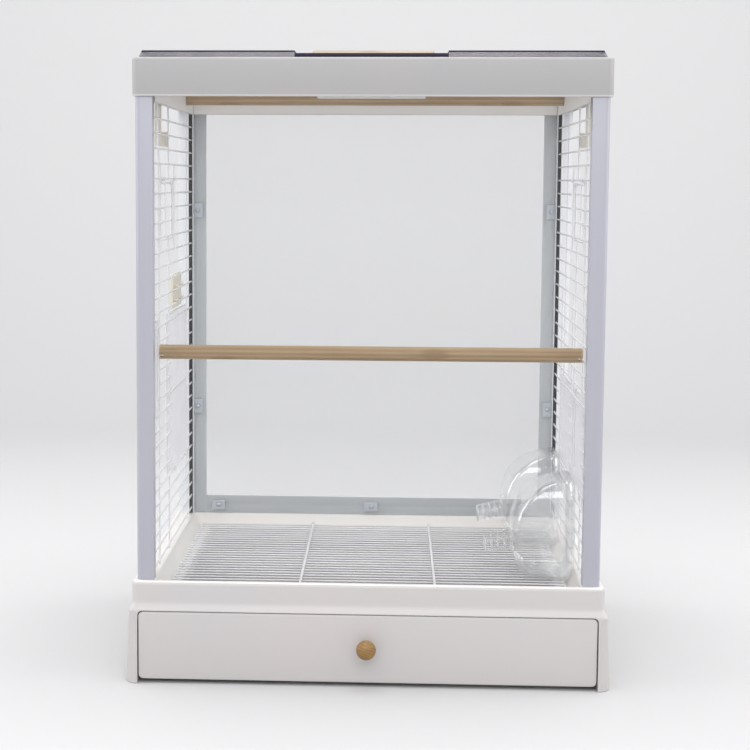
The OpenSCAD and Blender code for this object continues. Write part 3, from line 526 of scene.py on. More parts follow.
def cut(obj, lo, hi, corner=0.0):
    """Takes a block out of an object. Its edges along Y can be rounded."""
    bm = bmesh.new()
    bmesh.ops.create_cube(bm, size=1)
    for vertex in bm.verts:
        vertex.co = [a if c < 0 else b for c, a, b in zip(vertex.co, lo, hi)]
    if corner:
        edges = [e for e in bm.edges if abs(e.verts[0].co.y - e.verts[1].co.y) > 0.5 * (hi[1] - lo[1])]
        bmesh.ops.bevel(bm, geom=edges, offset=corner, segments=5, profile=0.5, affect="EDGES")
    return carve(obj, new_object("cutter", bm))


def paint_within(obj, material, lo, hi):
    """Gives the faces whose middles lie in a box another material."""
    if obj.data.materials.find(material.name) < 0:
        obj.data.materials.append(material)
    index = obj.data.materials.find(material.name)
    for face in obj.data.polygons:
        if all(a < c < b for a, c, b in zip(lo, face.center, hi)):
            face.material_index = index


def join(first, *others):
    """Joins finished objects into the first one, as one mesh of several shells."""
    bm = bmesh.new()
    graph = bpy.context.evaluated_depsgraph_get()
    for obj in (first, *others):
        mesh = bpy.data.meshes.new_from_object(obj.evaluated_get(graph))
        bm.from_mesh(mesh)
        bpy.data.meshes.remove(mesh)
    for obj in others:
        bpy.data.objects.remove(obj)
    name = first.name
    bpy.data.objects.remove(first)
    return new_object(name, bm)


def lathe(name, outline, start, axis, sides=40):
    """Turns an outline of (radius, distance along the axis) about the axis from start."""
    axis = Vector(axis).normalized()
    turn = axis.to_track_quat("Z", "Y").to_matrix()
    bm = bmesh.new()
    rows = []
    for radius, along in outline:
        steps = [2 * math.pi * i / sides for i in range(sides)]
        points = [turn @ Vector((radius * math.cos(a), radius * math.sin(a), along)) for a in steps]
        rows.append([bm.verts.new(Vector(start) + p) for p in points])
    for low, high in zip(rows, rows[1:]):
        for i in range(sides):
            bm.faces.new((low[i], low[(i + 1) % sides], high[(i + 1) % sides], high[i]))
    bm.faces.new(list(reversed(rows[0])))
    bm.faces.new(rows[-1])
    bmesh.ops.remove_doubles(bm, verts=bm.verts, dist=0.001 * MM)
    turn_outwards(bm)
    return new_object(name, bm)


# %% [markdown]
# ## The base
#
# The base is one moulding. Its outside spreads towards the floor and turns over a round rim; inside the rim
# a sloping wall leads down to a ledge that carries the grate, and below that it is open for the drawer. All
# of this is a closed stack of rings, each a little further in or lower than the last. Two blocks are then
# cut out: the drawer's opening and the seat behind the front lip, where the clear front panel stands. The
# rim's top and the inside get a lighter copy of the same plastic, which is painted light.


# %% The base
FLARE = 6.5 * MM
FOOT_STEP = 3.6 * MM
STEP_Z, BAND_Z = 71.8 * MM, 83.8 * MM
CORNER = 8 * MM
drawer_lo, drawer_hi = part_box("drawer")
OPENING_HALF = drawer_hi.x + 1 * MM
OPENING_TOP = 74.3 * MM
HOLLOW_TOP = OPENING_TOP + 0.5 * MM     # clear of the cutter's faces, so that the cut stays clean
LEDGE_Z = RIM_TOP - 15.5 * MM


def base_ring(side, front, rear, z, r):
    """A ring by its distances in from the rim's outer faces."""
    half = HALF + RIM_OUT
    return ring(-half + side, half - side, FRONT - RIM_OUT + front, REAR + RIM_OUT - rear, z, r)


def even(inset, z, r):
    return base_ring(inset, inset, inset, z, r)


def rim_curve(radius, count, inset, z):
    """Quarter round from an upright face over to a flat top, as (inset, height)."""
    turns = [math.radians(90 * i / count) for i in range(count + 1)]
    return [(inset + radius * (1 - math.cos(t)), z - radius * (1 - math.sin(t))) for t in turns]


outside = [even(-FLARE + 0.5 * MM, 0, CORNER + FLARE), even(-FLARE, 0.8 * MM, CORNER + FLARE),
           even(-FOOT_STEP, STEP_Z - 1.5 * MM, CORNER + FOOT_STEP)]
for i in range(1, 8):
    share = i / 8
    ease = (1 - math.cos(math.pi * share)) / 2
    outside.append(even(-FOOT_STEP * (1 - ease), STEP_Z + (BAND_Z - STEP_Z) * share, CORNER))
outside.append(even(0, BAND_Z + 0.5 * MM, CORNER))
outside += [even(i, z, CORNER - min(i, 4 * MM)) for i, z in rim_curve(4 * MM, 6, 0, RIM_TOP)]
inside = [base_ring(21.6 * MM, 21.6 * MM, 12.6 * MM, RIM_TOP, 10 * MM),
          base_ring(22.6 * MM, 22.6 * MM, 13.6 * MM, RIM_TOP - 0.4 * MM, 10 * MM),
          base_ring(23.2 * MM, 23.2 * MM, 14.2 * MM, RIM_TOP - 1.4 * MM, 10 * MM),
          base_ring(30.4 * MM, 30.4 * MM, 21.4 * MM, LEDGE_Z + 1 * MM, 8 * MM),
          base_ring(31.4 * MM, 31.4 * MM, 22.4 * MM, LEDGE_Z, 8 * MM),
          base_ring(42.4 * MM, 45.8 * MM, 27.8 * MM, LEDGE_Z, 5 * MM),
          base_ring(43 * MM, 46.4 * MM, 28.4 * MM, LEDGE_Z - 0.8 * MM, 5 * MM),
          base_ring(43 * MM, 46.4 * MM, 28.4 * MM, HOLLOW_TOP, 5 * MM),
          base_ring(5.9 * MM, 6.4 * MM, 7.4 * MM, HOLLOW_TOP, 6 * MM),
          base_ring(5.9 * MM, 6.4 * MM, 7.4 * MM, 4 * MM, 6 * MM),
          base_ring(16.4 * MM, 6.4 * MM, 7.4 * MM, 4 * MM, 6 * MM),
          base_ring(16.4 * MM, 6.4 * MM, 7.4 * MM, 0, 6 * MM)]
base = stack("base_moulding", outside + inside, closed=True)
cut(base, (-OPENING_HALF, FRONT - 30 * MM, -5 * MM), (OPENING_HALF, FRONT + 30 * MM, OPENING_TOP),
    corner=5 * MM)
seat_half = post_lo.x - 1.6 * MM
cut(base, (-seat_half, FRONT + 2.6 * MM, RIM_TOP - 6 * MM), (seat_half, FRONT + 34 * MM, RIM_TOP + 9 * MM))
bevel(base, 0.6 * MM, 2)
finish_piece(base, white_plastic, "cage", "base_shell", slot="base_plastic")
rim_lo = Vector((-HALF - RIM_OUT, FRONT - RIM_OUT, RIM_TOP - 1.5 * MM))
rim_hi = Vector((HALF + RIM_OUT, REAR + RIM_OUT, RIM_TOP + 1 * MM))
# The rim's top and the well inside get the lighter copy of the plastic: painted light.
paint_within(base, inner_plastic_painted_light, rim_lo, rim_hi)
RIM_WIDTH, REAR_RIM_WIDTH, WELL_DEPTH = 20 * MM, 8 * MM, 16 * MM
paint_within(base, inner_plastic_painted_light, rim_lo + Vector((RIM_WIDTH, RIM_WIDTH, -WELL_DEPTH)),
             rim_hi - Vector((RIM_WIDTH, REAR_RIM_WIDTH, 0)))
print("base has", len(base.data.polygons), "faces")

# %% [markdown]
# ## The drawer and its knob
#
# The drawer is a shallow tray with a flat front plate that covers the opening. The plate is a short stack
# of rings laid on its side, with rounded corners and a softened front edge. The knob is turned, so it is a
# lathe outline: a neck, a belly and a domed end.

# %% The drawer
PLATE_THICK = 3.6 * MM
DRAWER_TOP = drawer_hi.z
# Lays a stack down to face the front.
lying = Matrix(((1, 0, 0, 0), (0, 0, -1, 0), (0, 1, 0, 0), (0, 0, 0, 1)))
plate_back = FRONT - 2 * MM
plate = [(0.3 * MM, 0), (0, 0.3 * MM), (0, PLATE_THICK - 1.4 * MM)]
plate += [(i, z) for i, z in rim_curve(1.4 * MM, 5, 0, PLATE_THICK)]
plate_rings = [ring(drawer_lo.x + i, drawer_hi.x - i, drawer_lo.z + i, DRAWER_TOP - i, z - plate_back,
                    5 * MM - i) for i, z in plate]
front_plate = stack("drawer_front", plate_rings, place=lying)
tray_half = OPENING_HALF - 3 * MM
tray_front, tray_rear = plate_back - 0.01 * MM, drawer_hi.y
tray_low, tray_top = drawer_lo.z, drawer_lo.z + 56 * MM


def tray_ring(inset, z, r):
    return ring(-tray_half + inset, tray_half - inset, tray_front + inset, tray_rear - inset, z, r)


tray_rings = [tray_ring(4 * MM, tray_low, 4 * MM), tray_ring(1.2 * MM, tray_low + 1.2 * MM, 5 * MM),
              tray_ring(0, tray_low + 4 * MM, 6 * MM), tray_ring(0, tray_top - 0.6 * MM, 6 * MM),
              tray_ring(0.6 * MM, tray_top, 6 * MM), tray_ring(2.4 * MM, tray_top, 4 * MM),
              tray_ring(3 * MM, tray_top - 0.6 * MM, 4 * MM), tray_ring(3 * MM, tray_low + 6 * MM, 4 * MM),
              tray_ring(4 * MM, tray_low + 3.8 * MM, 4 * MM), tray_ring(6 * MM, tray_low + 3 * MM, 4 * MM)]
tray = stack("tray", tray_rings)
drawer = join(front_plate, tray)
drawer.name = "drawer_tray"
finish_piece(drawer, white_plastic, "drawer_unit", "drawer", slot="drawer_plastic")

# %% The knob
knob_lo, knob_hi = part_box("drawer_knob")
knob_radius = (knob_hi.x - knob_lo.x) / 2
knob_reach = knob_hi.y - knob_lo.y
knob_start = ((knob_lo.x + knob_hi.x) / 2, knob_hi.y, (knob_lo.z + knob_hi.z) / 2)
neck = [(0, 0), (0.58, 0), (0.62, 0.02), (0.62, 0.04), (0.57, 0.1), (0.56, 0.17), (0.62, 0.25), (0.76, 0.35)]
belly = [(0.9, 0.46), (0.97, 0.53), (1.0, 0.62), (0.985, 0.7), (0.93, 0.79), (0.82, 0.87), (0.66, 0.935)]
dome = [(0.45, 0.975), (0.22, 0.995), (0, 1.0)]
knob_outline = [(r * knob_radius, a * knob_reach) for r, a in neck + belly + dome]
knob = lathe("turned_knob", knob_outline, knob_start, (0, -1, 0), sides=48)
finish_piece(knob, knob_wood, "drawer_unit", "drawer_knob", slot="knob_wood", angle=50)
softened("knob_fixing_screw", "knob_screw", 0.15 * MM, screw_steel, "drawer_unit", slot="screw_steel")
print("drawer and knob:", len(drawer.data.polygons), len(knob.data.polygons), "faces")

# %% [markdown]
# ## Posts, rail and panels
#
# The posts and the rail are extrusions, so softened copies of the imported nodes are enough: what shows is
# how light runs down their rounded edges. The clear panels are cut sheet. Their edges are sawn and
# polished, catch the light and show white, so the bevel's own faces get a second, brighter material.

# %% Posts, rail and panels
WALL_X = HALF - 17 * MM         # middle of a wire wall, between its level and its upright wires
GROOVE_HALF = 2.7 * MM


def darken_groove(obj, front, back):
    """Gives the faces inside a rear post's groove a second, nearly black material: painted shade."""
    obj.data.materials.append(groove_painted_shade)
    for face in obj.data.polygons:
        in_groove = abs(abs(face.center.x) - WALL_X) < GROOVE_HALF and front < face.center.y < back
        face.material_index = 1 if in_groove else 0


# The rear posts get the lighter copy of the post paint, which is painted light.
for side in ("left", "right"):
    softened(f"front_post_{side}", f"front_{side}_post", 0.9 * MM, post_paint, "cage", slot="post_metal")
    rear_post = softened(f"rear_post_{side}", f"rear_{side}_post", 0.6 * MM, rear_painted_light, "cage",
                         slot="post_metal")
    groove_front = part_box(f"rear_{side}_post")[0].y
    darken_groove(rear_post, groove_front + 0.7 * MM, groove_front + 8.5 * MM)
# The rear rail also gets the lighter copy: painted light.
softened("rear_bottom_rail", "rear_rail", 0.6 * MM, rear_painted_light, "cage", slot="post_metal")
softened("panel_pull_strip", "front_panel_pull", 0.35 * MM, bright_plastic, "cage", slot="white_plastic")


def panel(name, node, sheet):
    obj = new_object(name, merged_copy(node))
    obj.data.materials.append(sheet)
    obj.data.materials.append(sheet_edge)
    for face in obj.data.polygons:
        face.material_index = 0 if abs(face.normal.y) > 0.9 else 1
    bevel(obj, 0.7 * MM, 1, edge_material=1)
    return finish_piece(obj, None, "cage", node, slot="clear_panel")


panel("clear_front_panel", "front_panel", front_sheet)
panel("clear_rear_panel", "rear_panel", rear_sheet)

# %% [markdown]
# ## Clips and screws
#
# Seven clips hold the rear panel, each with one pan-head screw. The screw head repeats, so Geometry Nodes
# put the same head on every point: a flattened ball, cut by a cross of two thin bars, turned to face the
# front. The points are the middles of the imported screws.


# %% Helper: a Geometry Nodes tree with named inputs
def geometry_tree(name, inputs):
    """A tree with a Geometry input and output and the named inputs {name: (kind, default)}."""
    tree = bpy.data.node_groups.new(name, "GeometryNodeTree")
    tree.interface.new_socket("Geometry", in_out="INPUT", socket_type="NodeSocketGeometry")
    tree.interface.new_socket("Geometry", in_out="OUTPUT", socket_type="NodeSocketGeometry")
    for key, (kind, value) in inputs.items():
        socket = tree.interface.new_socket(key, in_out="INPUT", socket_type="NodeSocket" + kind)
        if value is not None:
            socket.default_value = value
    return tree, add(tree, "NodeGroupInput"), add(tree, "NodeGroupOutput")


def end_tree(tree, start, end, geometry):
    """Realizes the instances, sets the material and puts the result out."""
    real = add(tree, "GeometryNodeRealizeInstances", {"Geometry": geometry})
    final = add(tree, "GeometryNodeSetMaterial",
                {"Geometry": real.outputs[0], "Material": start.outputs["Material"]})
    tree.links.new(final.outputs[0], end.inputs["Geometry"])


def run_tree(obj, tree, **values):
    """Puts the tree on an object as a modifier and sets its inputs by their identifiers."""
    modifier = obj.modifiers.new(tree.name, "NODES")
    modifier.node_group = tree
    sockets = {s.name: s.identifier for s in tree.interface.items_tree if s.in_out == "INPUT"}
    for key, value in values.items():
        modifier[sockets[key.replace("_", " ")]] = value
    return obj


def points_object(name, points, edges=()):
    mesh = bpy.data.meshes.new(name)
    mesh.from_pydata([tuple(p) for p in points], list(edges), [])
    obj = bpy.data.objects.new(name, mesh)
    bpy.context.scene.collection.objects.link(obj)
    return obj


def loose_boxes(node):
    """The (low, high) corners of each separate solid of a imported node."""
    bm = bmesh.new()
    bm.from_mesh(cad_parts[node].data)
    bmesh.ops.remove_doubles(bm, verts=bm.verts, dist=0.003 * MM)
    seen, boxes = set(), []
    for first in bm.verts:
        if first.index in seen:
            continue
        group, queue = [], [first]
        seen.add(first.index)
        while queue:
            vertex = queue.pop()
            group.append(vertex.co.copy())
            for edge in vertex.link_edges:
                other = edge.other_vert(vertex)
                if other.index not in seen:
                    seen.add(other.index)
                    queue.append(other)
        boxes.append(tuple(Vector([pick(c[i] for c in group) for i in range(3)]) for pick in (min, max)))
    bm.free()
    return boxes


# %% The screws on their points
def screw_tree():
    tree, start, end = geometry_tree(
        "Pan-head screws",
        {"Head Diameter": ("Float", 5.6 * MM), "Head Height": ("Float", 1.8 * MM),
         "Material": ("Material", None)})
    ball = add(tree, "GeometryNodeMeshUVSphere", Segments=28, Rings=14, Radius=0.5)
    diameter = start.outputs["Head Diameter"]
    size = add(tree, "ShaderNodeCombineXYZ", {"X": diameter, "Y": diameter})
    twice = add(tree, "ShaderNodeMath", {0: start.outputs["Head Height"]}, operation="MULTIPLY")
    twice.inputs[1].default_value = 2.0
    tree.links.new(twice.outputs[0], size.inputs["Z"])
    head = add(tree, "GeometryNodeTransform", {"Geometry": ball.outputs["Mesh"], "Scale": size.outputs[0]})
    cross = add(tree, "GeometryNodeMeshBoolean", {"Mesh 1": head.outputs[0]}, operation="DIFFERENCE",
                solver="EXACT")
    slot_long, slot_wide, slot_deep = 3.2 * MM, 0.7 * MM, 1.6 * MM
    for across in ((slot_wide, slot_long), (slot_long, slot_wide)):
        bar = add(tree, "GeometryNodeMeshCube")
        bar.inputs["Size"].default_value = (*across, slot_deep)
        moved = add(tree, "GeometryNodeTransform", {"Geometry": bar.outputs["Mesh"]})
        moved.inputs["Translation"].default_value = (0, 0, slot_deep)
        tree.links.new(moved.outputs[0], cross.inputs["Mesh 2"])
    spots = add(tree, "GeometryNodeInstanceOnPoints",
                {"Points": start.outputs["Geometry"], "Instance": cross.outputs["Mesh"]})
    spots.inputs["Rotation"].default_value = Euler((math.radians(90), 0, 0))
    end_tree(tree, start, end, spots.outputs[0])
    return tree


screw_boxes = loose_boxes("clip_screws")
heads = [((lo.x + hi.x) / 2, lo.y + 1.9 * MM, (lo.z + hi.z) / 2) for lo, hi in screw_boxes]
screws = run_tree(points_object("clip_screw_heads", heads), screw_tree(), Material=screw_steel)
finish_piece(screws, None, "cage", "clip_screws", slot="screw_steel")
softened("rear_panel_clips", "panel_clips", 0.5 * MM, grey_plastic, "cage", slot="clip_plastic")
print(len(heads), "screws on their clips")

# %% [markdown]
# ## Wires
#
# The side walls, the doors and the grate are round wire, dipped in paint after welding. Each wire is one
# edge between two points. One Geometry Nodes tree turns every edge into a round bar, and every loose point
# into a small bead, which is how paint gathers where two wires are welded. The wall's wires are read from
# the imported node, which holds one solid for each wire.


# %% Tree: edges to wires, loose points to weld beads
def wire_tree():
    tree, start, end = geometry_tree(
        "Painted wires",
        {"Wire Diameter": ("Float", 2 * MM), "Sides": ("Int", 12), "Bead Diameter": ("Float", 2 * MM),
         "Material": ("Material", None)})
    radius = add(tree, "ShaderNodeMath", {0: start.outputs["Wire Diameter"]}, operation="MULTIPLY")
    radius.inputs[1].default_value = 0.5
    curves = add(tree, "GeometryNodeMeshToCurve", {"Mesh": start.outputs["Geometry"]})
    outline = add(tree, "GeometryNodeCurvePrimitiveCircle",
                  {"Radius": radius.outputs[0], "Resolution": start.outputs["Sides"]})
    bars = add(tree, "GeometryNodeCurveToMesh",
               {"Curve": curves.outputs["Curve"], "Profile Curve": outline.outputs["Curve"]})
    bars.inputs["Fill Caps"].default_value = True
    neighbours = add(tree, "GeometryNodeInputMeshVertexNeighbors")
    alone = add(tree, "FunctionNodeCompare", data_type="INT", operation="EQUAL")
    tree.links.new(neighbours.outputs["Vertex Count"], alone.inputs[2])
    loose = add(tree, "GeometryNodeMeshToPoints",
                {"Mesh": start.outputs["Geometry"], "Selection": alone.outputs["Result"]})
    half_bead = add(tree, "ShaderNodeMath", {0: start.outputs["Bead Diameter"]}, operation="MULTIPLY")
    half_bead.inputs[1].default_value = 0.5
    ball = add(tree, "GeometryNodeMeshIcoSphere", {"Radius": half_bead.outputs[0]}, Subdivisions=2)
    beads = add(tree, "GeometryNodeInstanceOnPoints",
                {"Points": loose.outputs[0], "Instance": ball.outputs["Mesh"]})
    both = add(tree, "GeometryNodeJoinGeometry")
    tree.links.new(bars.outputs["Mesh"], both.inputs[0])
    tree.links.new(beads.outputs[0], both.inputs[0])
    end_tree(tree, start, end, both.outputs[0])
    return tree


WIRES = wire_tree()


def wires(name, segments, beads, diameter, bead, material, body, *nodes, slot=None, sides=12, keep=False):
    """Bars along the segments and beads on the points. With keep, they stay an object for joining."""
    points = [p for segment in segments for p in segment]
    edges = [(2 * i, 2 * i + 1) for i in range(len(segments))]
    obj = points_object(name, points + list(beads), edges)
    run_tree(obj, WIRES, Wire_Diameter=diameter, Sides=sides, Bead_Diameter=bead, Material=material)
    return obj if keep else finish_piece(obj, None, body, *nodes, slot=slot, angle=50)


def centre_line(lo, hi):
    """The middle line of a bar that lies along its box's longest side."""
    size = hi - lo
    axis = max(range(3), key=lambda i: size[i])
    middle = (lo + hi) / 2
    ends = []
    for value in (lo[axis], hi[axis]):
        point = middle.copy()
        point[axis] = value
        ends.append(point)
    return axis, ends


# %% The side walls
def wire_wall(side):
    node = f"{side}_wire_wall"
    lines = [centre_line(lo, hi) for lo, hi in loose_boxes(node)]
    level_wires = [ends for axis, ends in lines if axis == 1]
    uprights = [ends for axis, ends in lines if axis == 2]
    welds = [((a[0].x + b[0].x) / 2, b[0].y, a[0].z) for a in level_wires for b in uprights
             if a[0].y - MM < b[0].y < a[1].y + MM and b[0].z - MM < a[0].z < b[1].z + MM]
    wires(f"wall_wires_{side}", [ends for axis, ends in lines], welds, 2 * MM, 1.9 * MM, wire_paint, "cage",
          node, slot="wall_wire", sides=14)
    return len(lines), len(welds)


for side in ("left", "right"):
    print(side, "wall: wires and welds", wire_wall(side))

# %% [markdown]
# ## The floor grate
#
# The grate follows a plain rule: level wires at an even pitch, welded between two side rods below and two
# lengthwise rods above. So the whole grate is one tree with its sizes as named inputs. A line of points
# carries one wire each, and the four rods are two lines of points more.


# %% The floor grate
def grate_tree():
    tree, start, end = geometry_tree(
        "Floor grate",
        {"Low Corner": ("Vector", (0, 0, 0)), "Width": ("Float", 0.4), "Depth": ("Float", 0.3),
         "Wire Count": ("Int", 28), "Wire Diameter": ("Float", 2 * MM), "Rod Diameter": ("Float", 3 * MM),
         "Rod Places": ("Vector", (0.01, 0.1, 0)), "Material": ("Material", None)})

    def fill(node, *values):
        """Sets a node's first inputs to numbers, or links them to other nodes."""
        for socket, value in zip(node.inputs, values):
            if isinstance(value, (int, float)):
                socket.default_value = value
            else:
                tree.links.new(value, socket)
        return node.outputs[0]

    def maths(operation, a, b):
        return fill(add(tree, "ShaderNodeMath", operation=operation), a, b)

    def vector(x=0.0, y=0.0, z=0.0):
        return fill(add(tree, "ShaderNodeCombineXYZ"), x, y, z)

    def bar(length_vector, diameter):
        line = add(tree, "GeometryNodeCurvePrimitiveLine", {"End": length_vector})
        outline = add(tree, "GeometryNodeCurvePrimitiveCircle", {"Radius": maths("MULTIPLY", diameter, 0.5)})
        outline.inputs["Resolution"].default_value = 14
        mesh = add(tree, "GeometryNodeCurveToMesh",
                   {"Curve": line.outputs["Curve"], "Profile Curve": outline.outputs["Curve"]})
        mesh.inputs["Fill Caps"].default_value = True
        return mesh.outputs["Mesh"]

    def row(count, first, step, instance):
        line = add(tree, "GeometryNodeMeshLine", {"Start Location": first, "Offset": step}, mode="OFFSET")
        if isinstance(count, int):
            line.inputs["Count"].default_value = count
        else:
            tree.links.new(count, line.inputs["Count"])
        copies = add(tree, "GeometryNodeInstanceOnPoints",
                     {"Points": line.outputs["Mesh"], "Instance": instance})
        return copies.outputs[0]

    width, depth = start.outputs["Width"], start.outputs["Depth"]
    wire, rod = start.outputs["Wire Diameter"], start.outputs["Rod Diameter"]
    count = start.outputs["Wire Count"]
    places = add(tree, "ShaderNodeSeparateXYZ", {"Vector": start.outputs["Rod Places"]})
    side_in, cross_half = places.outputs[0], places.outputs[1]
    margin = 2 * MM
    pitch = maths("DIVIDE", maths("SUBTRACT", depth, 2 * margin), maths("SUBTRACT", count, 1))
    rod_z = maths("MULTIPLY", rod, 0.5)
    wire_z = maths("ADD", rod, maths("MULTIPLY", wire, 0.5))
    cross_z = maths("ADD", maths("ADD", rod, wire), rod_z)
    along_x, along_y = bar(vector(x=width), wire), bar(vector(y=depth), rod)
    middle_x = maths("MULTIPLY", width, 0.5)
    between_rods = maths("SUBTRACT", width, maths("MULTIPLY", side_in, 2))
    rows = [row(count, vector(y=margin, z=wire_z), vector(y=pitch), along_x),
            row(2, vector(x=side_in, z=rod_z), vector(x=between_rods), along_y),
            row(2, vector(x=maths("SUBTRACT", middle_x, cross_half), z=cross_z),
                vector(x=maths("MULTIPLY", cross_half, 2)), along_y)]
    together = add(tree, "GeometryNodeJoinGeometry")
    for geometry in rows:
        tree.links.new(geometry, together.inputs[0])
    placed = add(tree, "GeometryNodeTransform",
                 {"Geometry": together.outputs[0], "Translation": start.outputs["Low Corner"]})
    end_tree(tree, start, end, placed.outputs[0])
    return tree


grate_lo, grate_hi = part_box("floor_grate")
grate_bars = [centre_line(lo, hi) for lo, hi in loose_boxes("floor_grate")]
cross_bars = sorted(ends[0].x for axis, ends in grate_bars if axis == 1)
wire_count = sum(1 for axis, ends in grate_bars if axis == 0)
grate = run_tree(points_object("grate_wires", [(0, 0, 0)]), grate_tree(), Low_Corner=tuple(grate_lo),
                 Width=grate_hi.x - grate_lo.x, Depth=grate_hi.y - grate_lo.y, Wire_Count=wire_count,
                 Wire_Diameter=2 * MM, Rod_Diameter=3 * MM,
                 Rod_Places=(cross_bars[0] - grate_lo.x, cross_bars[2], 0), Material=wire_paint)
finish_piece(grate, None, "cage", "floor_grate", slot="grate_wire", angle=50)
print("grate:", wire_count, "wires")

# %% [markdown]
# ## The doors
#
# Every door is a frame of thicker wire with thinner bars, so each is a list of segments for the wire tree.
# The sliding doors also have clips that run on the wall's upright wires and a small pull loop at the
# bottom; the hinged ones turn in loops round a wall wire.

# %% The doors
DOOR_FRAME = 2.4 * MM
FRAME_WIRE, FRAME_BEAD = 2.2 * MM, 2.3 * MM
DOOR_BAR = 1.8 * MM
BAR_PITCH = 12 * MM
CLIP_HALF = 2.6 * MM            # half of a slide clip's width
CLIP_HIGH = 8 * MM
PULL_DROP = 13 * MM             # how far a sliding door's pull loop hangs below its frame


def door(name, node, body, sliding=False, bars=None, rungs=(), turns_on=None):
    """Makes a door from its packed box. Bars default to a dense, even set; rungs are level bars.

    A door's upright frame wires stand past its level ones, but not past the rod that it turns on.
    """
    lo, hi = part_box(node)
    outer = 1 if hi.x > 0 else -1
    x = outer * (max(abs(lo.x), abs(hi.x)) - DOOR_FRAME / 2)
    side = CLIP_HALF if sliding else DOOR_FRAME / 2
    y0, y1 = lo.y + side, hi.y - side
    over = {end: 0 if turns_on == end else DOOR_FRAME / 2 for end in ("bottom", "top")}
    rod = DOOR_FRAME / 2 - 0.1 * MM
    z0 = lo.z + (PULL_DROP if sliding else over["bottom"] or rod)
    z1 = hi.z - (over["top"] or rod)
    count = round((y1 - y0) / BAR_PITCH)
    inner = [y0 + (y1 - y0) * i / count for i in range(1, count)] if bars is None else bars
    frame_bars = [((x, y, z0 - over["bottom"]), (x, y, z1 + over["top"])) for y in (y0, y1)]
    frame_bars += [((x, y0, z), (x, y1, z)) for z in (z0, z1)]
    thin_bars = [((x, y, z0), (x, y, z1)) for y in inner] + [((x, y0, z), (x, y1, z)) for z in rungs]
    if sliding:
        middle, half, low = (y0 + y1) / 2, 8 * MM, lo.z + 1 * MM
        thin_bars += [((x, middle + s * half, low), (x, middle + s * half, z0)) for s in (-1, 1)]
        thin_bars.append(((x, middle - half, low), (x, middle + half, low)))
    beads = [(x, y, z) for y in inner for z in (z0, z1)]
    parts = [wires(name, frame_bars, beads, FRAME_WIRE, FRAME_BEAD, wire_paint, body, keep=True),
             wires(name + "_bars", thin_bars, [], DOOR_BAR, DOOR_BAR, wire_paint, body, keep=True)]
    if sliding:
        parts += [slide_clip(x, y, z) for y in (y0, y1) for z in (z0 + CLIP_HIGH, z1 - 2 * CLIP_HIGH)]
    obj = join(*parts)
    obj.name = name
    return finish_piece(obj, wire_paint, body, node, slot="door_wire", angle=50)


def slide_clip(x, y, z):
    """A small channel that runs on an upright wall wire."""
    inner = math.copysign(abs(x) - DOOR_FRAME / 2 - 2 * MM, x)
    cheeks = []
    for middle in (y - 2 * MM, y + 2 * MM):
        low = (min(inner, x), middle - 0.55 * MM, z)
        high = (max(inner, x), middle + 0.55 * MM, z + CLIP_HIGH)
        cheeks.append(block("clip", low, high, 0.3 * MM, 2))
    return join(*cheeks)


entry_lo, entry_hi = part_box("entry_door")
door("entry_door_wires", "entry_door", "entry_door_unit", rungs=[(entry_lo.z + entry_hi.z) / 2],
     turns_on="bottom")
for side in ("left", "right"):
    lo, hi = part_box(f"{side}_upper_door")
    wall_lines = [centre_line(*corners) for corners in loose_boxes(f"{side}_wire_wall")]
    levels = sorted({round(ends[0].z, 5) for axis, ends in wall_lines if axis == 1})
    rungs = [z for z in levels if lo.z + 6 * MM < z < hi.z - 4 * MM]
    door(f"upper_door_{side}", f"{side}_upper_door", f"{side}_upper_door_unit", bars=[(lo.y + hi.y) / 2],
         rungs=rungs, turns_on="top")
for place in ("left", "front", "rear"):
    door(f"feeder_door_{place}", f"{place}_feeder_door", f"{place}_feeder_door_unit", sliding=True)
softened("hinge_loops", "door_hinge_loops", 0.3 * MM, wire_paint, "cage", slot="door_wire", segments=2)
softened("door_catch", "entry_latch", 0.7 * MM, cream_plastic, "cage", slot="cream_plastic")
for side in ("left", "right"):
    softened(f"cap_buckle_{side}", f"{side}_roof_buckle", 0.6 * MM, cream_plastic, "cage",
             slot="cream_plastic")
print("doors made")

# %% [markdown]
# ## The cap
#
# The cap is a moulded ring like the base: outside skirt, rounded top edge, a flat ring round the roof's
# opening, and back down inside. Rails hang from it along all four sides, just inside the panels and the
# wire walls, sockets behind the side rails take the upper perch, and small feet at the rear carry the
# roof's hinge pins.


# %% The cap
def cap_ring(inset, z, r):
    return ring(-HALF + inset, HALF - inset, FRONT + inset, REAR - inset, z, r)


RING_WIDTH = 25 * MM
skirt = [cap_ring(1.1 * MM, CAP_BOTTOM, CORNER - 1.1 * MM),
         cap_ring(0.25 * MM, CAP_BOTTOM + 0.6 * MM, CORNER),
         cap_ring(0, CAP_BOTTOM + 1.8 * MM, CORNER)]
skirt += [cap_ring(i, z, CORNER - i) for i, z in rim_curve(2.6 * MM, 6, 0, CAGE_TOP)]
ring_top = [cap_ring(RING_WIDTH - 0.8 * MM, CAGE_TOP, 9 * MM),
            cap_ring(RING_WIDTH, CAGE_TOP - 0.8 * MM, 9 * MM),
            cap_ring(RING_WIDTH, CAGE_TOP - WALL, 9 * MM)]
under = [cap_ring(4.4 * MM, CAGE_TOP - WALL, 10 * MM),
         cap_ring(2.8 * MM, CAGE_TOP - WALL - 1.6 * MM, 11.2 * MM),
         cap_ring(2.8 * MM, CAP_BOTTOM + 0.6 * MM, 11.2 * MM),
         cap_ring(2.2 * MM, CAP_BOTTOM, 11.8 * MM)]
cap = stack("cap_moulding", skirt + ring_top + under, closed=True)
rear_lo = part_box("rear_panel")[0]
upper_lo, upper_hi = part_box("upper_perch")
rear_post_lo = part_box("rear_right_post")[0]
rail_half = HALF + RIM_OUT - 23 * MM
RAIL_BOTTOM = CAP_BOTTOM - 4.6 * MM
SIDE_RAIL = WALL_X - 3.175 * MM     # inner face of the rail along each wire wall
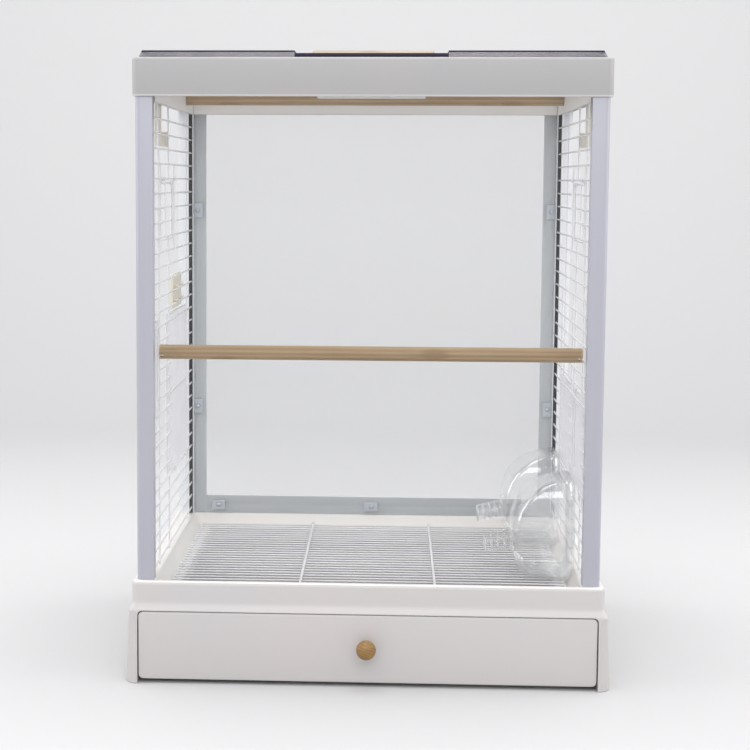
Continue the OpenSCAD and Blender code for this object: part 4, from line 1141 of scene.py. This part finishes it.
parts = [block("rear_rail", (-rail_half, rear_lo.y - 6 * MM, RAIL_BOTTOM),
               (rail_half, rear_lo.y - 3.2 * MM, CAGE_TOP - 1 * MM), 0.7 * MM),
         block("front_rail", (-SIDE_RAIL - 1 * MM, FRONT + 21.4 * MM, CAP_BOTTOM + 2 * MM),
               (SIDE_RAIL + 1 * MM, FRONT + 24 * MM, CAGE_TOP - 1 * MM), 0.6 * MM)]


def perch_bed():
    """A round bar a little thicker than the perch, to cut its bed with."""
    radius = (upper_hi.z - upper_lo.z) / 2 + 0.2 * MM
    middle = (upper_lo + upper_hi) / 2
    half = HALF - 4 * MM
    return lathe("bed", [(radius, 0), (radius, 2 * half)], (-half, middle.y, middle.z), (1, 0, 0), sides=48)


for s in (-1, 1):
    rail = sorted((s * SIDE_RAIL, s * (SIDE_RAIL + 2.6 * MM)))
    parts.append(carve(block("side_rail", (rail[0], FRONT + 21.4 * MM, RAIL_BOTTOM),
                             (rail[1], rear_post_lo.y - 0.3 * MM, CAGE_TOP - 1 * MM), 0.6 * MM), perch_bed()))
    ends = sorted((s * (SIDE_RAIL + 1 * MM), s * (HALF - 2 * MM)))
    parts.append(carve(block("socket", (ends[0], upper_lo.y - 3 * MM, upper_lo.z - 3 * MM),
                             (ends[1], upper_hi.y + 3 * MM, CAGE_TOP - 1 * MM), 1.2 * MM, 4), perch_bed()))
roof_pins = loose_boxes("roof_hinge_pins")
KNUCKLE = 9 * MM
EYE_RADIUS, EYE_EASE = 3.2 * MM, 0.4 * MM
for lo, hi in roof_pins:
    middle = (lo + hi) / 2
    for s in (-1, 1):
        x = middle.x + s * (KNUCKLE + 0.4 * MM)
        parts.append(block("foot", (x - KNUCKLE / 2, middle.y - 3.1 * MM, CAGE_TOP - 1 * MM),
                           (x + KNUCKLE / 2, middle.y + 3.1 * MM, middle.z), 0.3 * MM))
        eye = [(0, 0), (EYE_RADIUS - EYE_EASE, 0), (EYE_RADIUS, EYE_EASE), (EYE_RADIUS, KNUCKLE - EYE_EASE),
               (EYE_RADIUS - EYE_EASE, KNUCKLE), (0, KNUCKLE)]
        parts.append(lathe("eye", eye, (x - KNUCKLE / 2, middle.y, middle.z), (1, 0, 0)))
cap = join(cap, *parts)
cap.name = "cap_moulding"
# The cap's outside wears the darker copy of the white plastic: painted shade.
finish_piece(cap, cap_plastic, "cage", "cap_frame", slot="cap_plastic")
# Inside the cap, the lighter copy of the plastic: painted light.
paint_within(cap, inner_plastic_painted_light, (-SIDE_RAIL - 2 * MM, FRONT + 23 * MM, 0),
             (SIDE_RAIL + 2 * MM, rear_lo.y, CAGE_TOP - 2 * MM))
# The cap's lower edge keeps the plain white plastic, lighter than the painted shade on the rest of the cap.
paint_within(cap, white_plastic, (-HALF, FRONT, 0), (HALF, REAR, CAP_BOTTOM + 1.5 * MM))
softened("roof_pins", "roof_hinge_pins", 0.2 * MM, rod_steel, "cage", slot="pin_steel")
print("cap has", len(cap.data.polygons), "faces")

# %% [markdown]
# ## The perches
#
# A perch is a dowel with eased ends. Real dowels are never perfectly straight or round, so each is a lathe
# with many short steps whose radius changes by a few hundredths of a millimetre, seeded so that it repeats.


# %% The perches
def dowel_outline(radius, length, seed, ease=1.2 * MM, wobble=0.05 * MM):
    rng = random.Random(seed)
    ends = [(radius - ease * (1 - math.sin(a)), ease * (1 - math.cos(a)))
            for a in [math.radians(15 * i) for i in range(7)]]
    body = [(radius + rng.uniform(-wobble, 0), ease + (length - 2 * ease) * i / 40) for i in range(1, 40)]
    return [(0, 0), *ends, *body, *[(r, length - a) for r, a in reversed(ends)], (0, length)]


lower_lo, lower_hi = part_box("lower_perch")
lower = lathe("lower_perch_dowel", dowel_outline((lower_hi.z - lower_lo.z) / 2, lower_hi.x - lower_lo.x, 3),
              (lower_lo.x, (lower_lo.y + lower_hi.y) / 2, (lower_lo.z + lower_hi.z) / 2), (1, 0, 0), sides=36)
NOTCH_UP = 3.6 * MM
notch_z = (lower_lo.z + lower_hi.z) / 2 - NOTCH_UP
for s in (-1, 1):
    ends = sorted((s * (lower_hi.x - 4.3 * MM), s * (lower_hi.x + 3 * MM)))
    cut(lower, (ends[0], lower_lo.y - 3 * MM, notch_z - 1.2 * MM),
        (ends[1], lower_hi.y + 3 * MM, notch_z + 1.2 * MM))
finish_piece(lower, perch_wood, "cage", "lower_perch", slot="perch_wood", angle=40)
upper = lathe("upper_perch_dowel", dowel_outline((upper_hi.z - upper_lo.z) / 2, upper_hi.x - upper_lo.x, 8),
              (upper_lo.x, (upper_lo.y + upper_hi.y) / 2, (upper_lo.z + upper_hi.z) / 2), (1, 0, 0), sides=36)
finish_piece(upper, perch_wood, "cage", "upper_perch", slot="perch_wood", angle=40)
print("perches", round(lower_hi.x - lower_lo.x, 3), "and", round(upper_hi.x - upper_lo.x, 3), "m long")

# %% [markdown]
# ## The feeders
#
# A feeder is a clear cup with a bulging front and a hood that curves back over it. Both are mouldings
# again, so they are stacks of rings: outside up to the edge, then inside down again, which gives the wall a
# real thickness and lets light show both of its faces. The step in front is a small lattice made with the
# wire tree from square bars, and two hooks hang the cup on a level wire.

# %% The feeders
FEEDER_WALL = 2 * MM
CUP_HEIGHT = 46 * MM
CUP_ROUND, HOOD_ROUND = 30 * MM, 56 * MM        # how far the front curves in, below and above
CUP_CORNER, HOOD_CORNER = 9 * MM, 10 * MM
SIDE_ROUND = 30 * MM                            # how far the hood's sides curve over
HOOK_ASIDE = 24 * MM
HOOK_WIDTH, HOOK_THICK = 10 * MM, 1.6 * MM


def feeder(which):
    lo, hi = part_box(f"{which}_feeder_hood")
    cup_lo, cup_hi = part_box(f"{which}_feeder_cup")
    back, depth, floor = hi.x, hi.x - lo.x, cup_lo.z
    lip = floor + CUP_HEIGHT
    lean_top = RIM_TOP + 3 * MM
    lean_run = (lean_top - floor) * 8 / 15.5

    def reach(z):
        """How far the front stands out from the back at a height, on the outside."""
        h = z - floor
        if h < CUP_ROUND:
            return depth - CUP_ROUND + math.sqrt(CUP_ROUND ** 2 - (CUP_ROUND - h) ** 2)
        over = h - ((hi.z - floor) - HOOD_ROUND)
        return depth if over < 0 else depth - HOOD_ROUND + math.sqrt(max(HOOD_ROUND ** 2 - over ** 2, 0))

    def lean(z):
        return lean_run * max(0, lean_top - z) / (lean_top - floor)

    def level_ring(z, inset, corner, side=0.0, at=None):
        place = z if at is None else at
        return ring(back - reach(z) + inset, back - inset - lean(z), lo.y + inset + side, hi.y - inset - side,
                    place, max(corner - inset, 1 * MM))

    cup_heights = [floor + h * MM for h in (0.4, 1.5, 3.5, 6, 9, 13, 18, 24, 31, 38)] + [lip - 0.8 * MM]
    outer = [level_ring(z, 0, CUP_CORNER, side=max(0, 4 * MM - (z - floor)) * 0.6) for z in cup_heights]
    outer[0] = level_ring(floor + 0.4 * MM, 1.2 * MM, CUP_CORNER, side=3 * MM, at=floor)
    rim = [level_ring(lip - 0.1 * MM, inset, CUP_CORNER, at=lip) for inset in (0.5 * MM, 1.5 * MM)]
    inner = [level_ring(z, FEEDER_WALL, CUP_CORNER, side=max(0, 5 * MM - (z - floor)) * 0.6)
             for z in reversed(cup_heights) if z > floor + 3 * MM]
    cup = stack(f"cup_shell_{which}", outer + rim + inner)
    middle = (lo.y + hi.y) / 2
    hooks = [feeder_hook(back - 1 * MM, y, lip, cup_hi.x, cup_hi.z)
             for y in (middle - HOOK_ASIDE, middle + HOOK_ASIDE)]
    cup = join(cup, *feeder_step(which, back - depth, middle, cup_lo.x, floor), *hooks)
    cup.name = f"feeder_cup_{which}"
    finish_piece(cup, feeder_clear, f"{which}_feeder", f"{which}_feeder_cup", slot="feeder_plastic", angle=40)

    low = lip + 0.2 * MM
    top = hi.z
    turns = [math.radians(a) for a in (0, 12, 24, 36, 48, 60, 70, 79, 86)]
    rise_from = top - HOOD_ROUND
    heights = [low + 0.6 * MM, low + 2 * MM] + [rise_from + HOOD_ROUND * math.sin(a) for a in turns]
    heights = [z for z in heights if z > low + 0.5 * MM]

    def shoulder(z):
        """How far the sides have rounded in at a height near the top."""
        drop = max(0.0, z - (top + 3 * MM - SIDE_ROUND))
        return (SIDE_ROUND - math.sqrt(max(SIDE_ROUND ** 2 - drop ** 2, 0))) * 0.8

    hood_outer = [level_ring(z, 0, HOOD_CORNER, side=shoulder(z)) for z in reversed(heights)]
    hood_edge = [level_ring(low + 0.6 * MM, inset, HOOD_CORNER, at=low) for inset in (0, FEEDER_WALL)]
    hood_inner = [level_ring(z, FEEDER_WALL, HOOD_CORNER, side=shoulder(z))
                  for z in heights if z < top - 3 * MM]
    hood = stack(f"feeder_hood_{which}", hood_outer + hood_edge + hood_inner)
    front = back - depth
    cut(hood, (front - 12 * MM, lo.y + 11 * MM, lip - 1 * MM),
        (front + 20 * MM, hi.y - 11 * MM, lip + 33 * MM))
    bevel(hood, 0.5 * MM, 2, angle=45)
    finish_piece(hood, feeder_clear, f"{which}_feeder", f"{which}_feeder_hood", slot="feeder_plastic",
                 angle=40)
    return len(cup.data.polygons), len(hood.data.polygons)


STEP_TILT = math.radians(14)
STEP_DEPTH = 10 * MM
STEP_HALF = 25 * MM
STEP_BAR = 1.5 * MM
STEP_TAPER = 0.04               # share of its width that the step loses from one cross bar to the next


def feeder_step(which, x, y, tip, floor):
    """The bird's step: two layers of square bars, tilted down away from the cup, and posts between them."""
    length = (x - tip) / math.cos(STEP_TILT) - 3 * MM
    root = floor + CUP_HEIGHT - 3 * MM

    def spot(along, aside, drop):
        """A point that far along the step, aside from its middle and below its upper layer."""
        return (x - along * math.cos(STEP_TILT), y + aside, root - drop - along * math.sin(STEP_TILT))

    def half_at(i):
        return STEP_HALF * (1 - STEP_TAPER * i)

    def bars(name, segments):
        return wires(f"{name}_{which}", segments, [], STEP_BAR, STEP_BAR, feeder_clear, "", sides=4,
                     keep=True)

    layers = []
    for drop in (0, STEP_DEPTH):
        across = [(spot(length * i / 4, -half_at(i), drop), spot(length * i / 4, half_at(i), drop))
                  for i in range(1, 5)]
        lengthwise = [(spot(0, STEP_HALF * j / 3, drop), spot(length, half_at(4) * j / 3, drop))
                      for j in range(-3, 4)]
        layers.append(bars("step", across + lengthwise))
    feet = [(length * i / 4, half_at(i) * s) for i in range(5) for s in (-1, 1)]
    feet += [(length, half_at(4) * j / 3) for j in range(-2, 3)]
    layers.append(bars("step_posts", [(spot(*foot, STEP_DEPTH), spot(*foot, 0)) for foot in feet]))
    return layers


def feeder_hook(x, y, lip, outer, top):
    """A strap up the back of the cup that bends over the wall's wire."""
    side, other = y - HOOK_WIDTH / 2, y + HOOK_WIDTH / 2
    return join(block("strap", (x, side, lip - 12 * MM), (x + HOOK_THICK, other, top), 0.4 * MM),
                block("over", (x, side, top - 2.2 * MM), (outer, other, top), 0.6 * MM),
                block("tip", (outer - HOOK_THICK, side, top - 8 * MM), (outer, other, top), 0.5 * MM))


for which in ("front", "rear"):
    print(which, "feeder faces", feeder(which))

# %% [markdown]
# ## The roof and its handle
#
# The roof is one thin smoked sheet, bent down at its sides, with a channel sunk along its middle that the
# handle lies in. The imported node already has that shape, so its edges only need softening. Looked at along
# the sheet, the dye is thickest at its upper edge and across the channel's ends, which show nearly black.
# So the sheet is split there, without changing its shape, and those faces get a darker material. The handle
# is a bent rod through a wooden grip, turning in two small brackets.

# %% The roof and its handle
EDGE_LINE = 1.9 * MM
lid_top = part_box("roof_lid")[1].z
sheet = merged_copy("roof_lid")
channel_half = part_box("handle_bail")[1].x + 1 * MM
splits = [((0, 0, lid_top - EDGE_LINE), (0, 0, 1)), ((channel_half, 0, 0), (1, 0, 0)),
          ((-channel_half, 0, 0), (1, 0, 0))]
for place, normal in splits:
    bmesh.ops.bisect_plane(sheet, geom=sheet.verts[:] + sheet.edges[:] + sheet.faces[:], plane_co=place,
                           plane_no=normal)
lid = new_object("smoked_roof", sheet)
lid.data.materials.append(smoked_sheet)
lid.data.materials.append(smoked_edge)
bevel(lid, 0.9 * MM, 2, edge_material=1)
finish_piece(lid, None, "roof", "roof_lid", slot="smoked_plastic")
for face in lid.data.polygons:
    in_channel = abs(face.center.x) < channel_half and abs(face.normal.y) > 0.5
    if abs(face.normal.z) < 0.93 and (face.center.z > lid_top - EDGE_LINE or in_channel):
        face.material_index = 1
softened("handle_supports", "handle_brackets", 0.6 * MM, bright_plastic, "roof", slot="white_plastic")
grip_lo, grip_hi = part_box("handle_grip")
grip_middle = (grip_lo + grip_hi) / 2
grip_outline = dowel_outline((grip_hi.z - grip_lo.z) / 2, grip_hi.x - grip_lo.x, 5, ease=2.2 * MM)
grip = lathe("wooden_grip", grip_outline, (grip_lo.x, grip_middle.y, grip_middle.z), (1, 0, 0), sides=36)
finish_piece(grip, grip_wood, "handle", "handle_grip", slot="grip_wood", angle=40)
softened("bent_handle_rod", "handle_bail", 0.3 * MM, rod_steel, "handle", slot="pin_steel")
print("roof and handle made")

# %% [markdown]
# ## The stage
#
# The cage stands on a white sweep: a floor that curves up into a wall behind, so there is no horizon. The
# light is a bright, even sky with a large soft lamp above, one at each side and a weaker one high in front,
# out of the panels' mirror. The front faces come out a little darker than the edges.


# %% The stage
def sweep():
    """Floor and backdrop in one sheet, as a profile carried sideways."""
    reach, turn, height, half = 1.6, 0.9, 3.2, 4.0
    arc = [math.radians(90 * i / 16) for i in range(17)]
    bend = [(reach + turn * math.sin(a), turn * (1 - math.cos(a))) for a in arc]
    profile = [(-half, 0.0), *bend, (reach + turn, height)]
    bm = bmesh.new()
    rows = [[bm.verts.new((x, y, z - 0.02 * MM)) for x in (-half, half)] for y, z in profile]
    for low, high in zip(rows, rows[1:]):
        bm.faces.new((low[0], low[1], high[1], high[0]))
    obj = new_object("studio_sweep", bm)
    obj.data.shade_smooth()
    material, tree, shader = start_material("studio_white", Roughness=0.9)
    place = add(tree, "ShaderNodeSeparateXYZ", {"Vector": object_coordinates(tree)})
    share = add(tree, "ShaderNodeMapRange", {"Value": place.outputs["Z"]}, clamp=True)
    share.inputs["From Max"].default_value = turn
    paper = add(tree, "ShaderNodeMix", {"Factor": share.outputs["Result"]}, data_type="RGBA",
                A=(0.59, 0.59, 0.597, 1), B=(0.72, 0.722, 0.725, 1))
    tree.links.new(paper.outputs["Result"], shader.inputs["Base Color"])
    obj.data.materials.append(material)
    return obj


sweep()


def soft_lamp(name, place, aim, size, power, colour=(1, 1, 1)):
    light = bpy.data.lights.new(name, "AREA")
    light.shape = "RECTANGLE"
    light.size, light.size_y = size
    light.energy = power
    light.color = colour
    obj = bpy.data.objects.new(name, light)
    obj.location = place
    obj.rotation_euler = (Vector(aim) - Vector(place)).to_track_quat("-Z", "Y").to_euler()
    bpy.context.scene.collection.objects.link(obj)


centre = (0, MIDDLE, 0.33)
soft_lamp("lamp_above", (0, 0.1, 2.4), centre, (1.8, 1.5), 34)
soft_lamp("lamp_front", (0, -2.2, 1.55), (0, 0.1, 0.3), (2.2, 1.0), 19)
soft_lamp("lamp_left", (-2.2, 0.0, 1.2), centre, (1.2, 1.8), 12)
soft_lamp("lamp_right", (2.2, 0.0, 1.2), centre, (1.2, 1.8), 13)


def studio_world(front, back, strength):
    """An even sky that is dimmer towards the front, where the dark room behind the camera lies."""
    world = bpy.data.worlds.new("studio")
    world.use_nodes = True
    tree = world.node_tree
    direction = add(tree, "ShaderNodeTexCoord").outputs["Generated"]
    parts = add(tree, "ShaderNodeSeparateXYZ", {"Vector": direction})
    share = add(tree, "ShaderNodeMapRange", {"Value": parts.outputs["Y"]}, clamp=True)
    share.inputs["From Min"].default_value = -0.7
    share.inputs["From Max"].default_value = 0.6
    mix = add(tree, "ShaderNodeMix", {"Factor": share.outputs["Result"]}, data_type="RGBA", A=front, B=back)
    sky = tree.nodes["Background"]
    tree.links.new(mix.outputs["Result"], sky.inputs["Color"])
    sky.inputs["Strength"].default_value = strength
    bpy.context.scene.world = world


studio_world((0.76, 0.75, 0.765, 1), (0.98, 0.975, 0.97, 1), 1.0)
bpy.context.scene.view_settings.view_transform = "Standard"
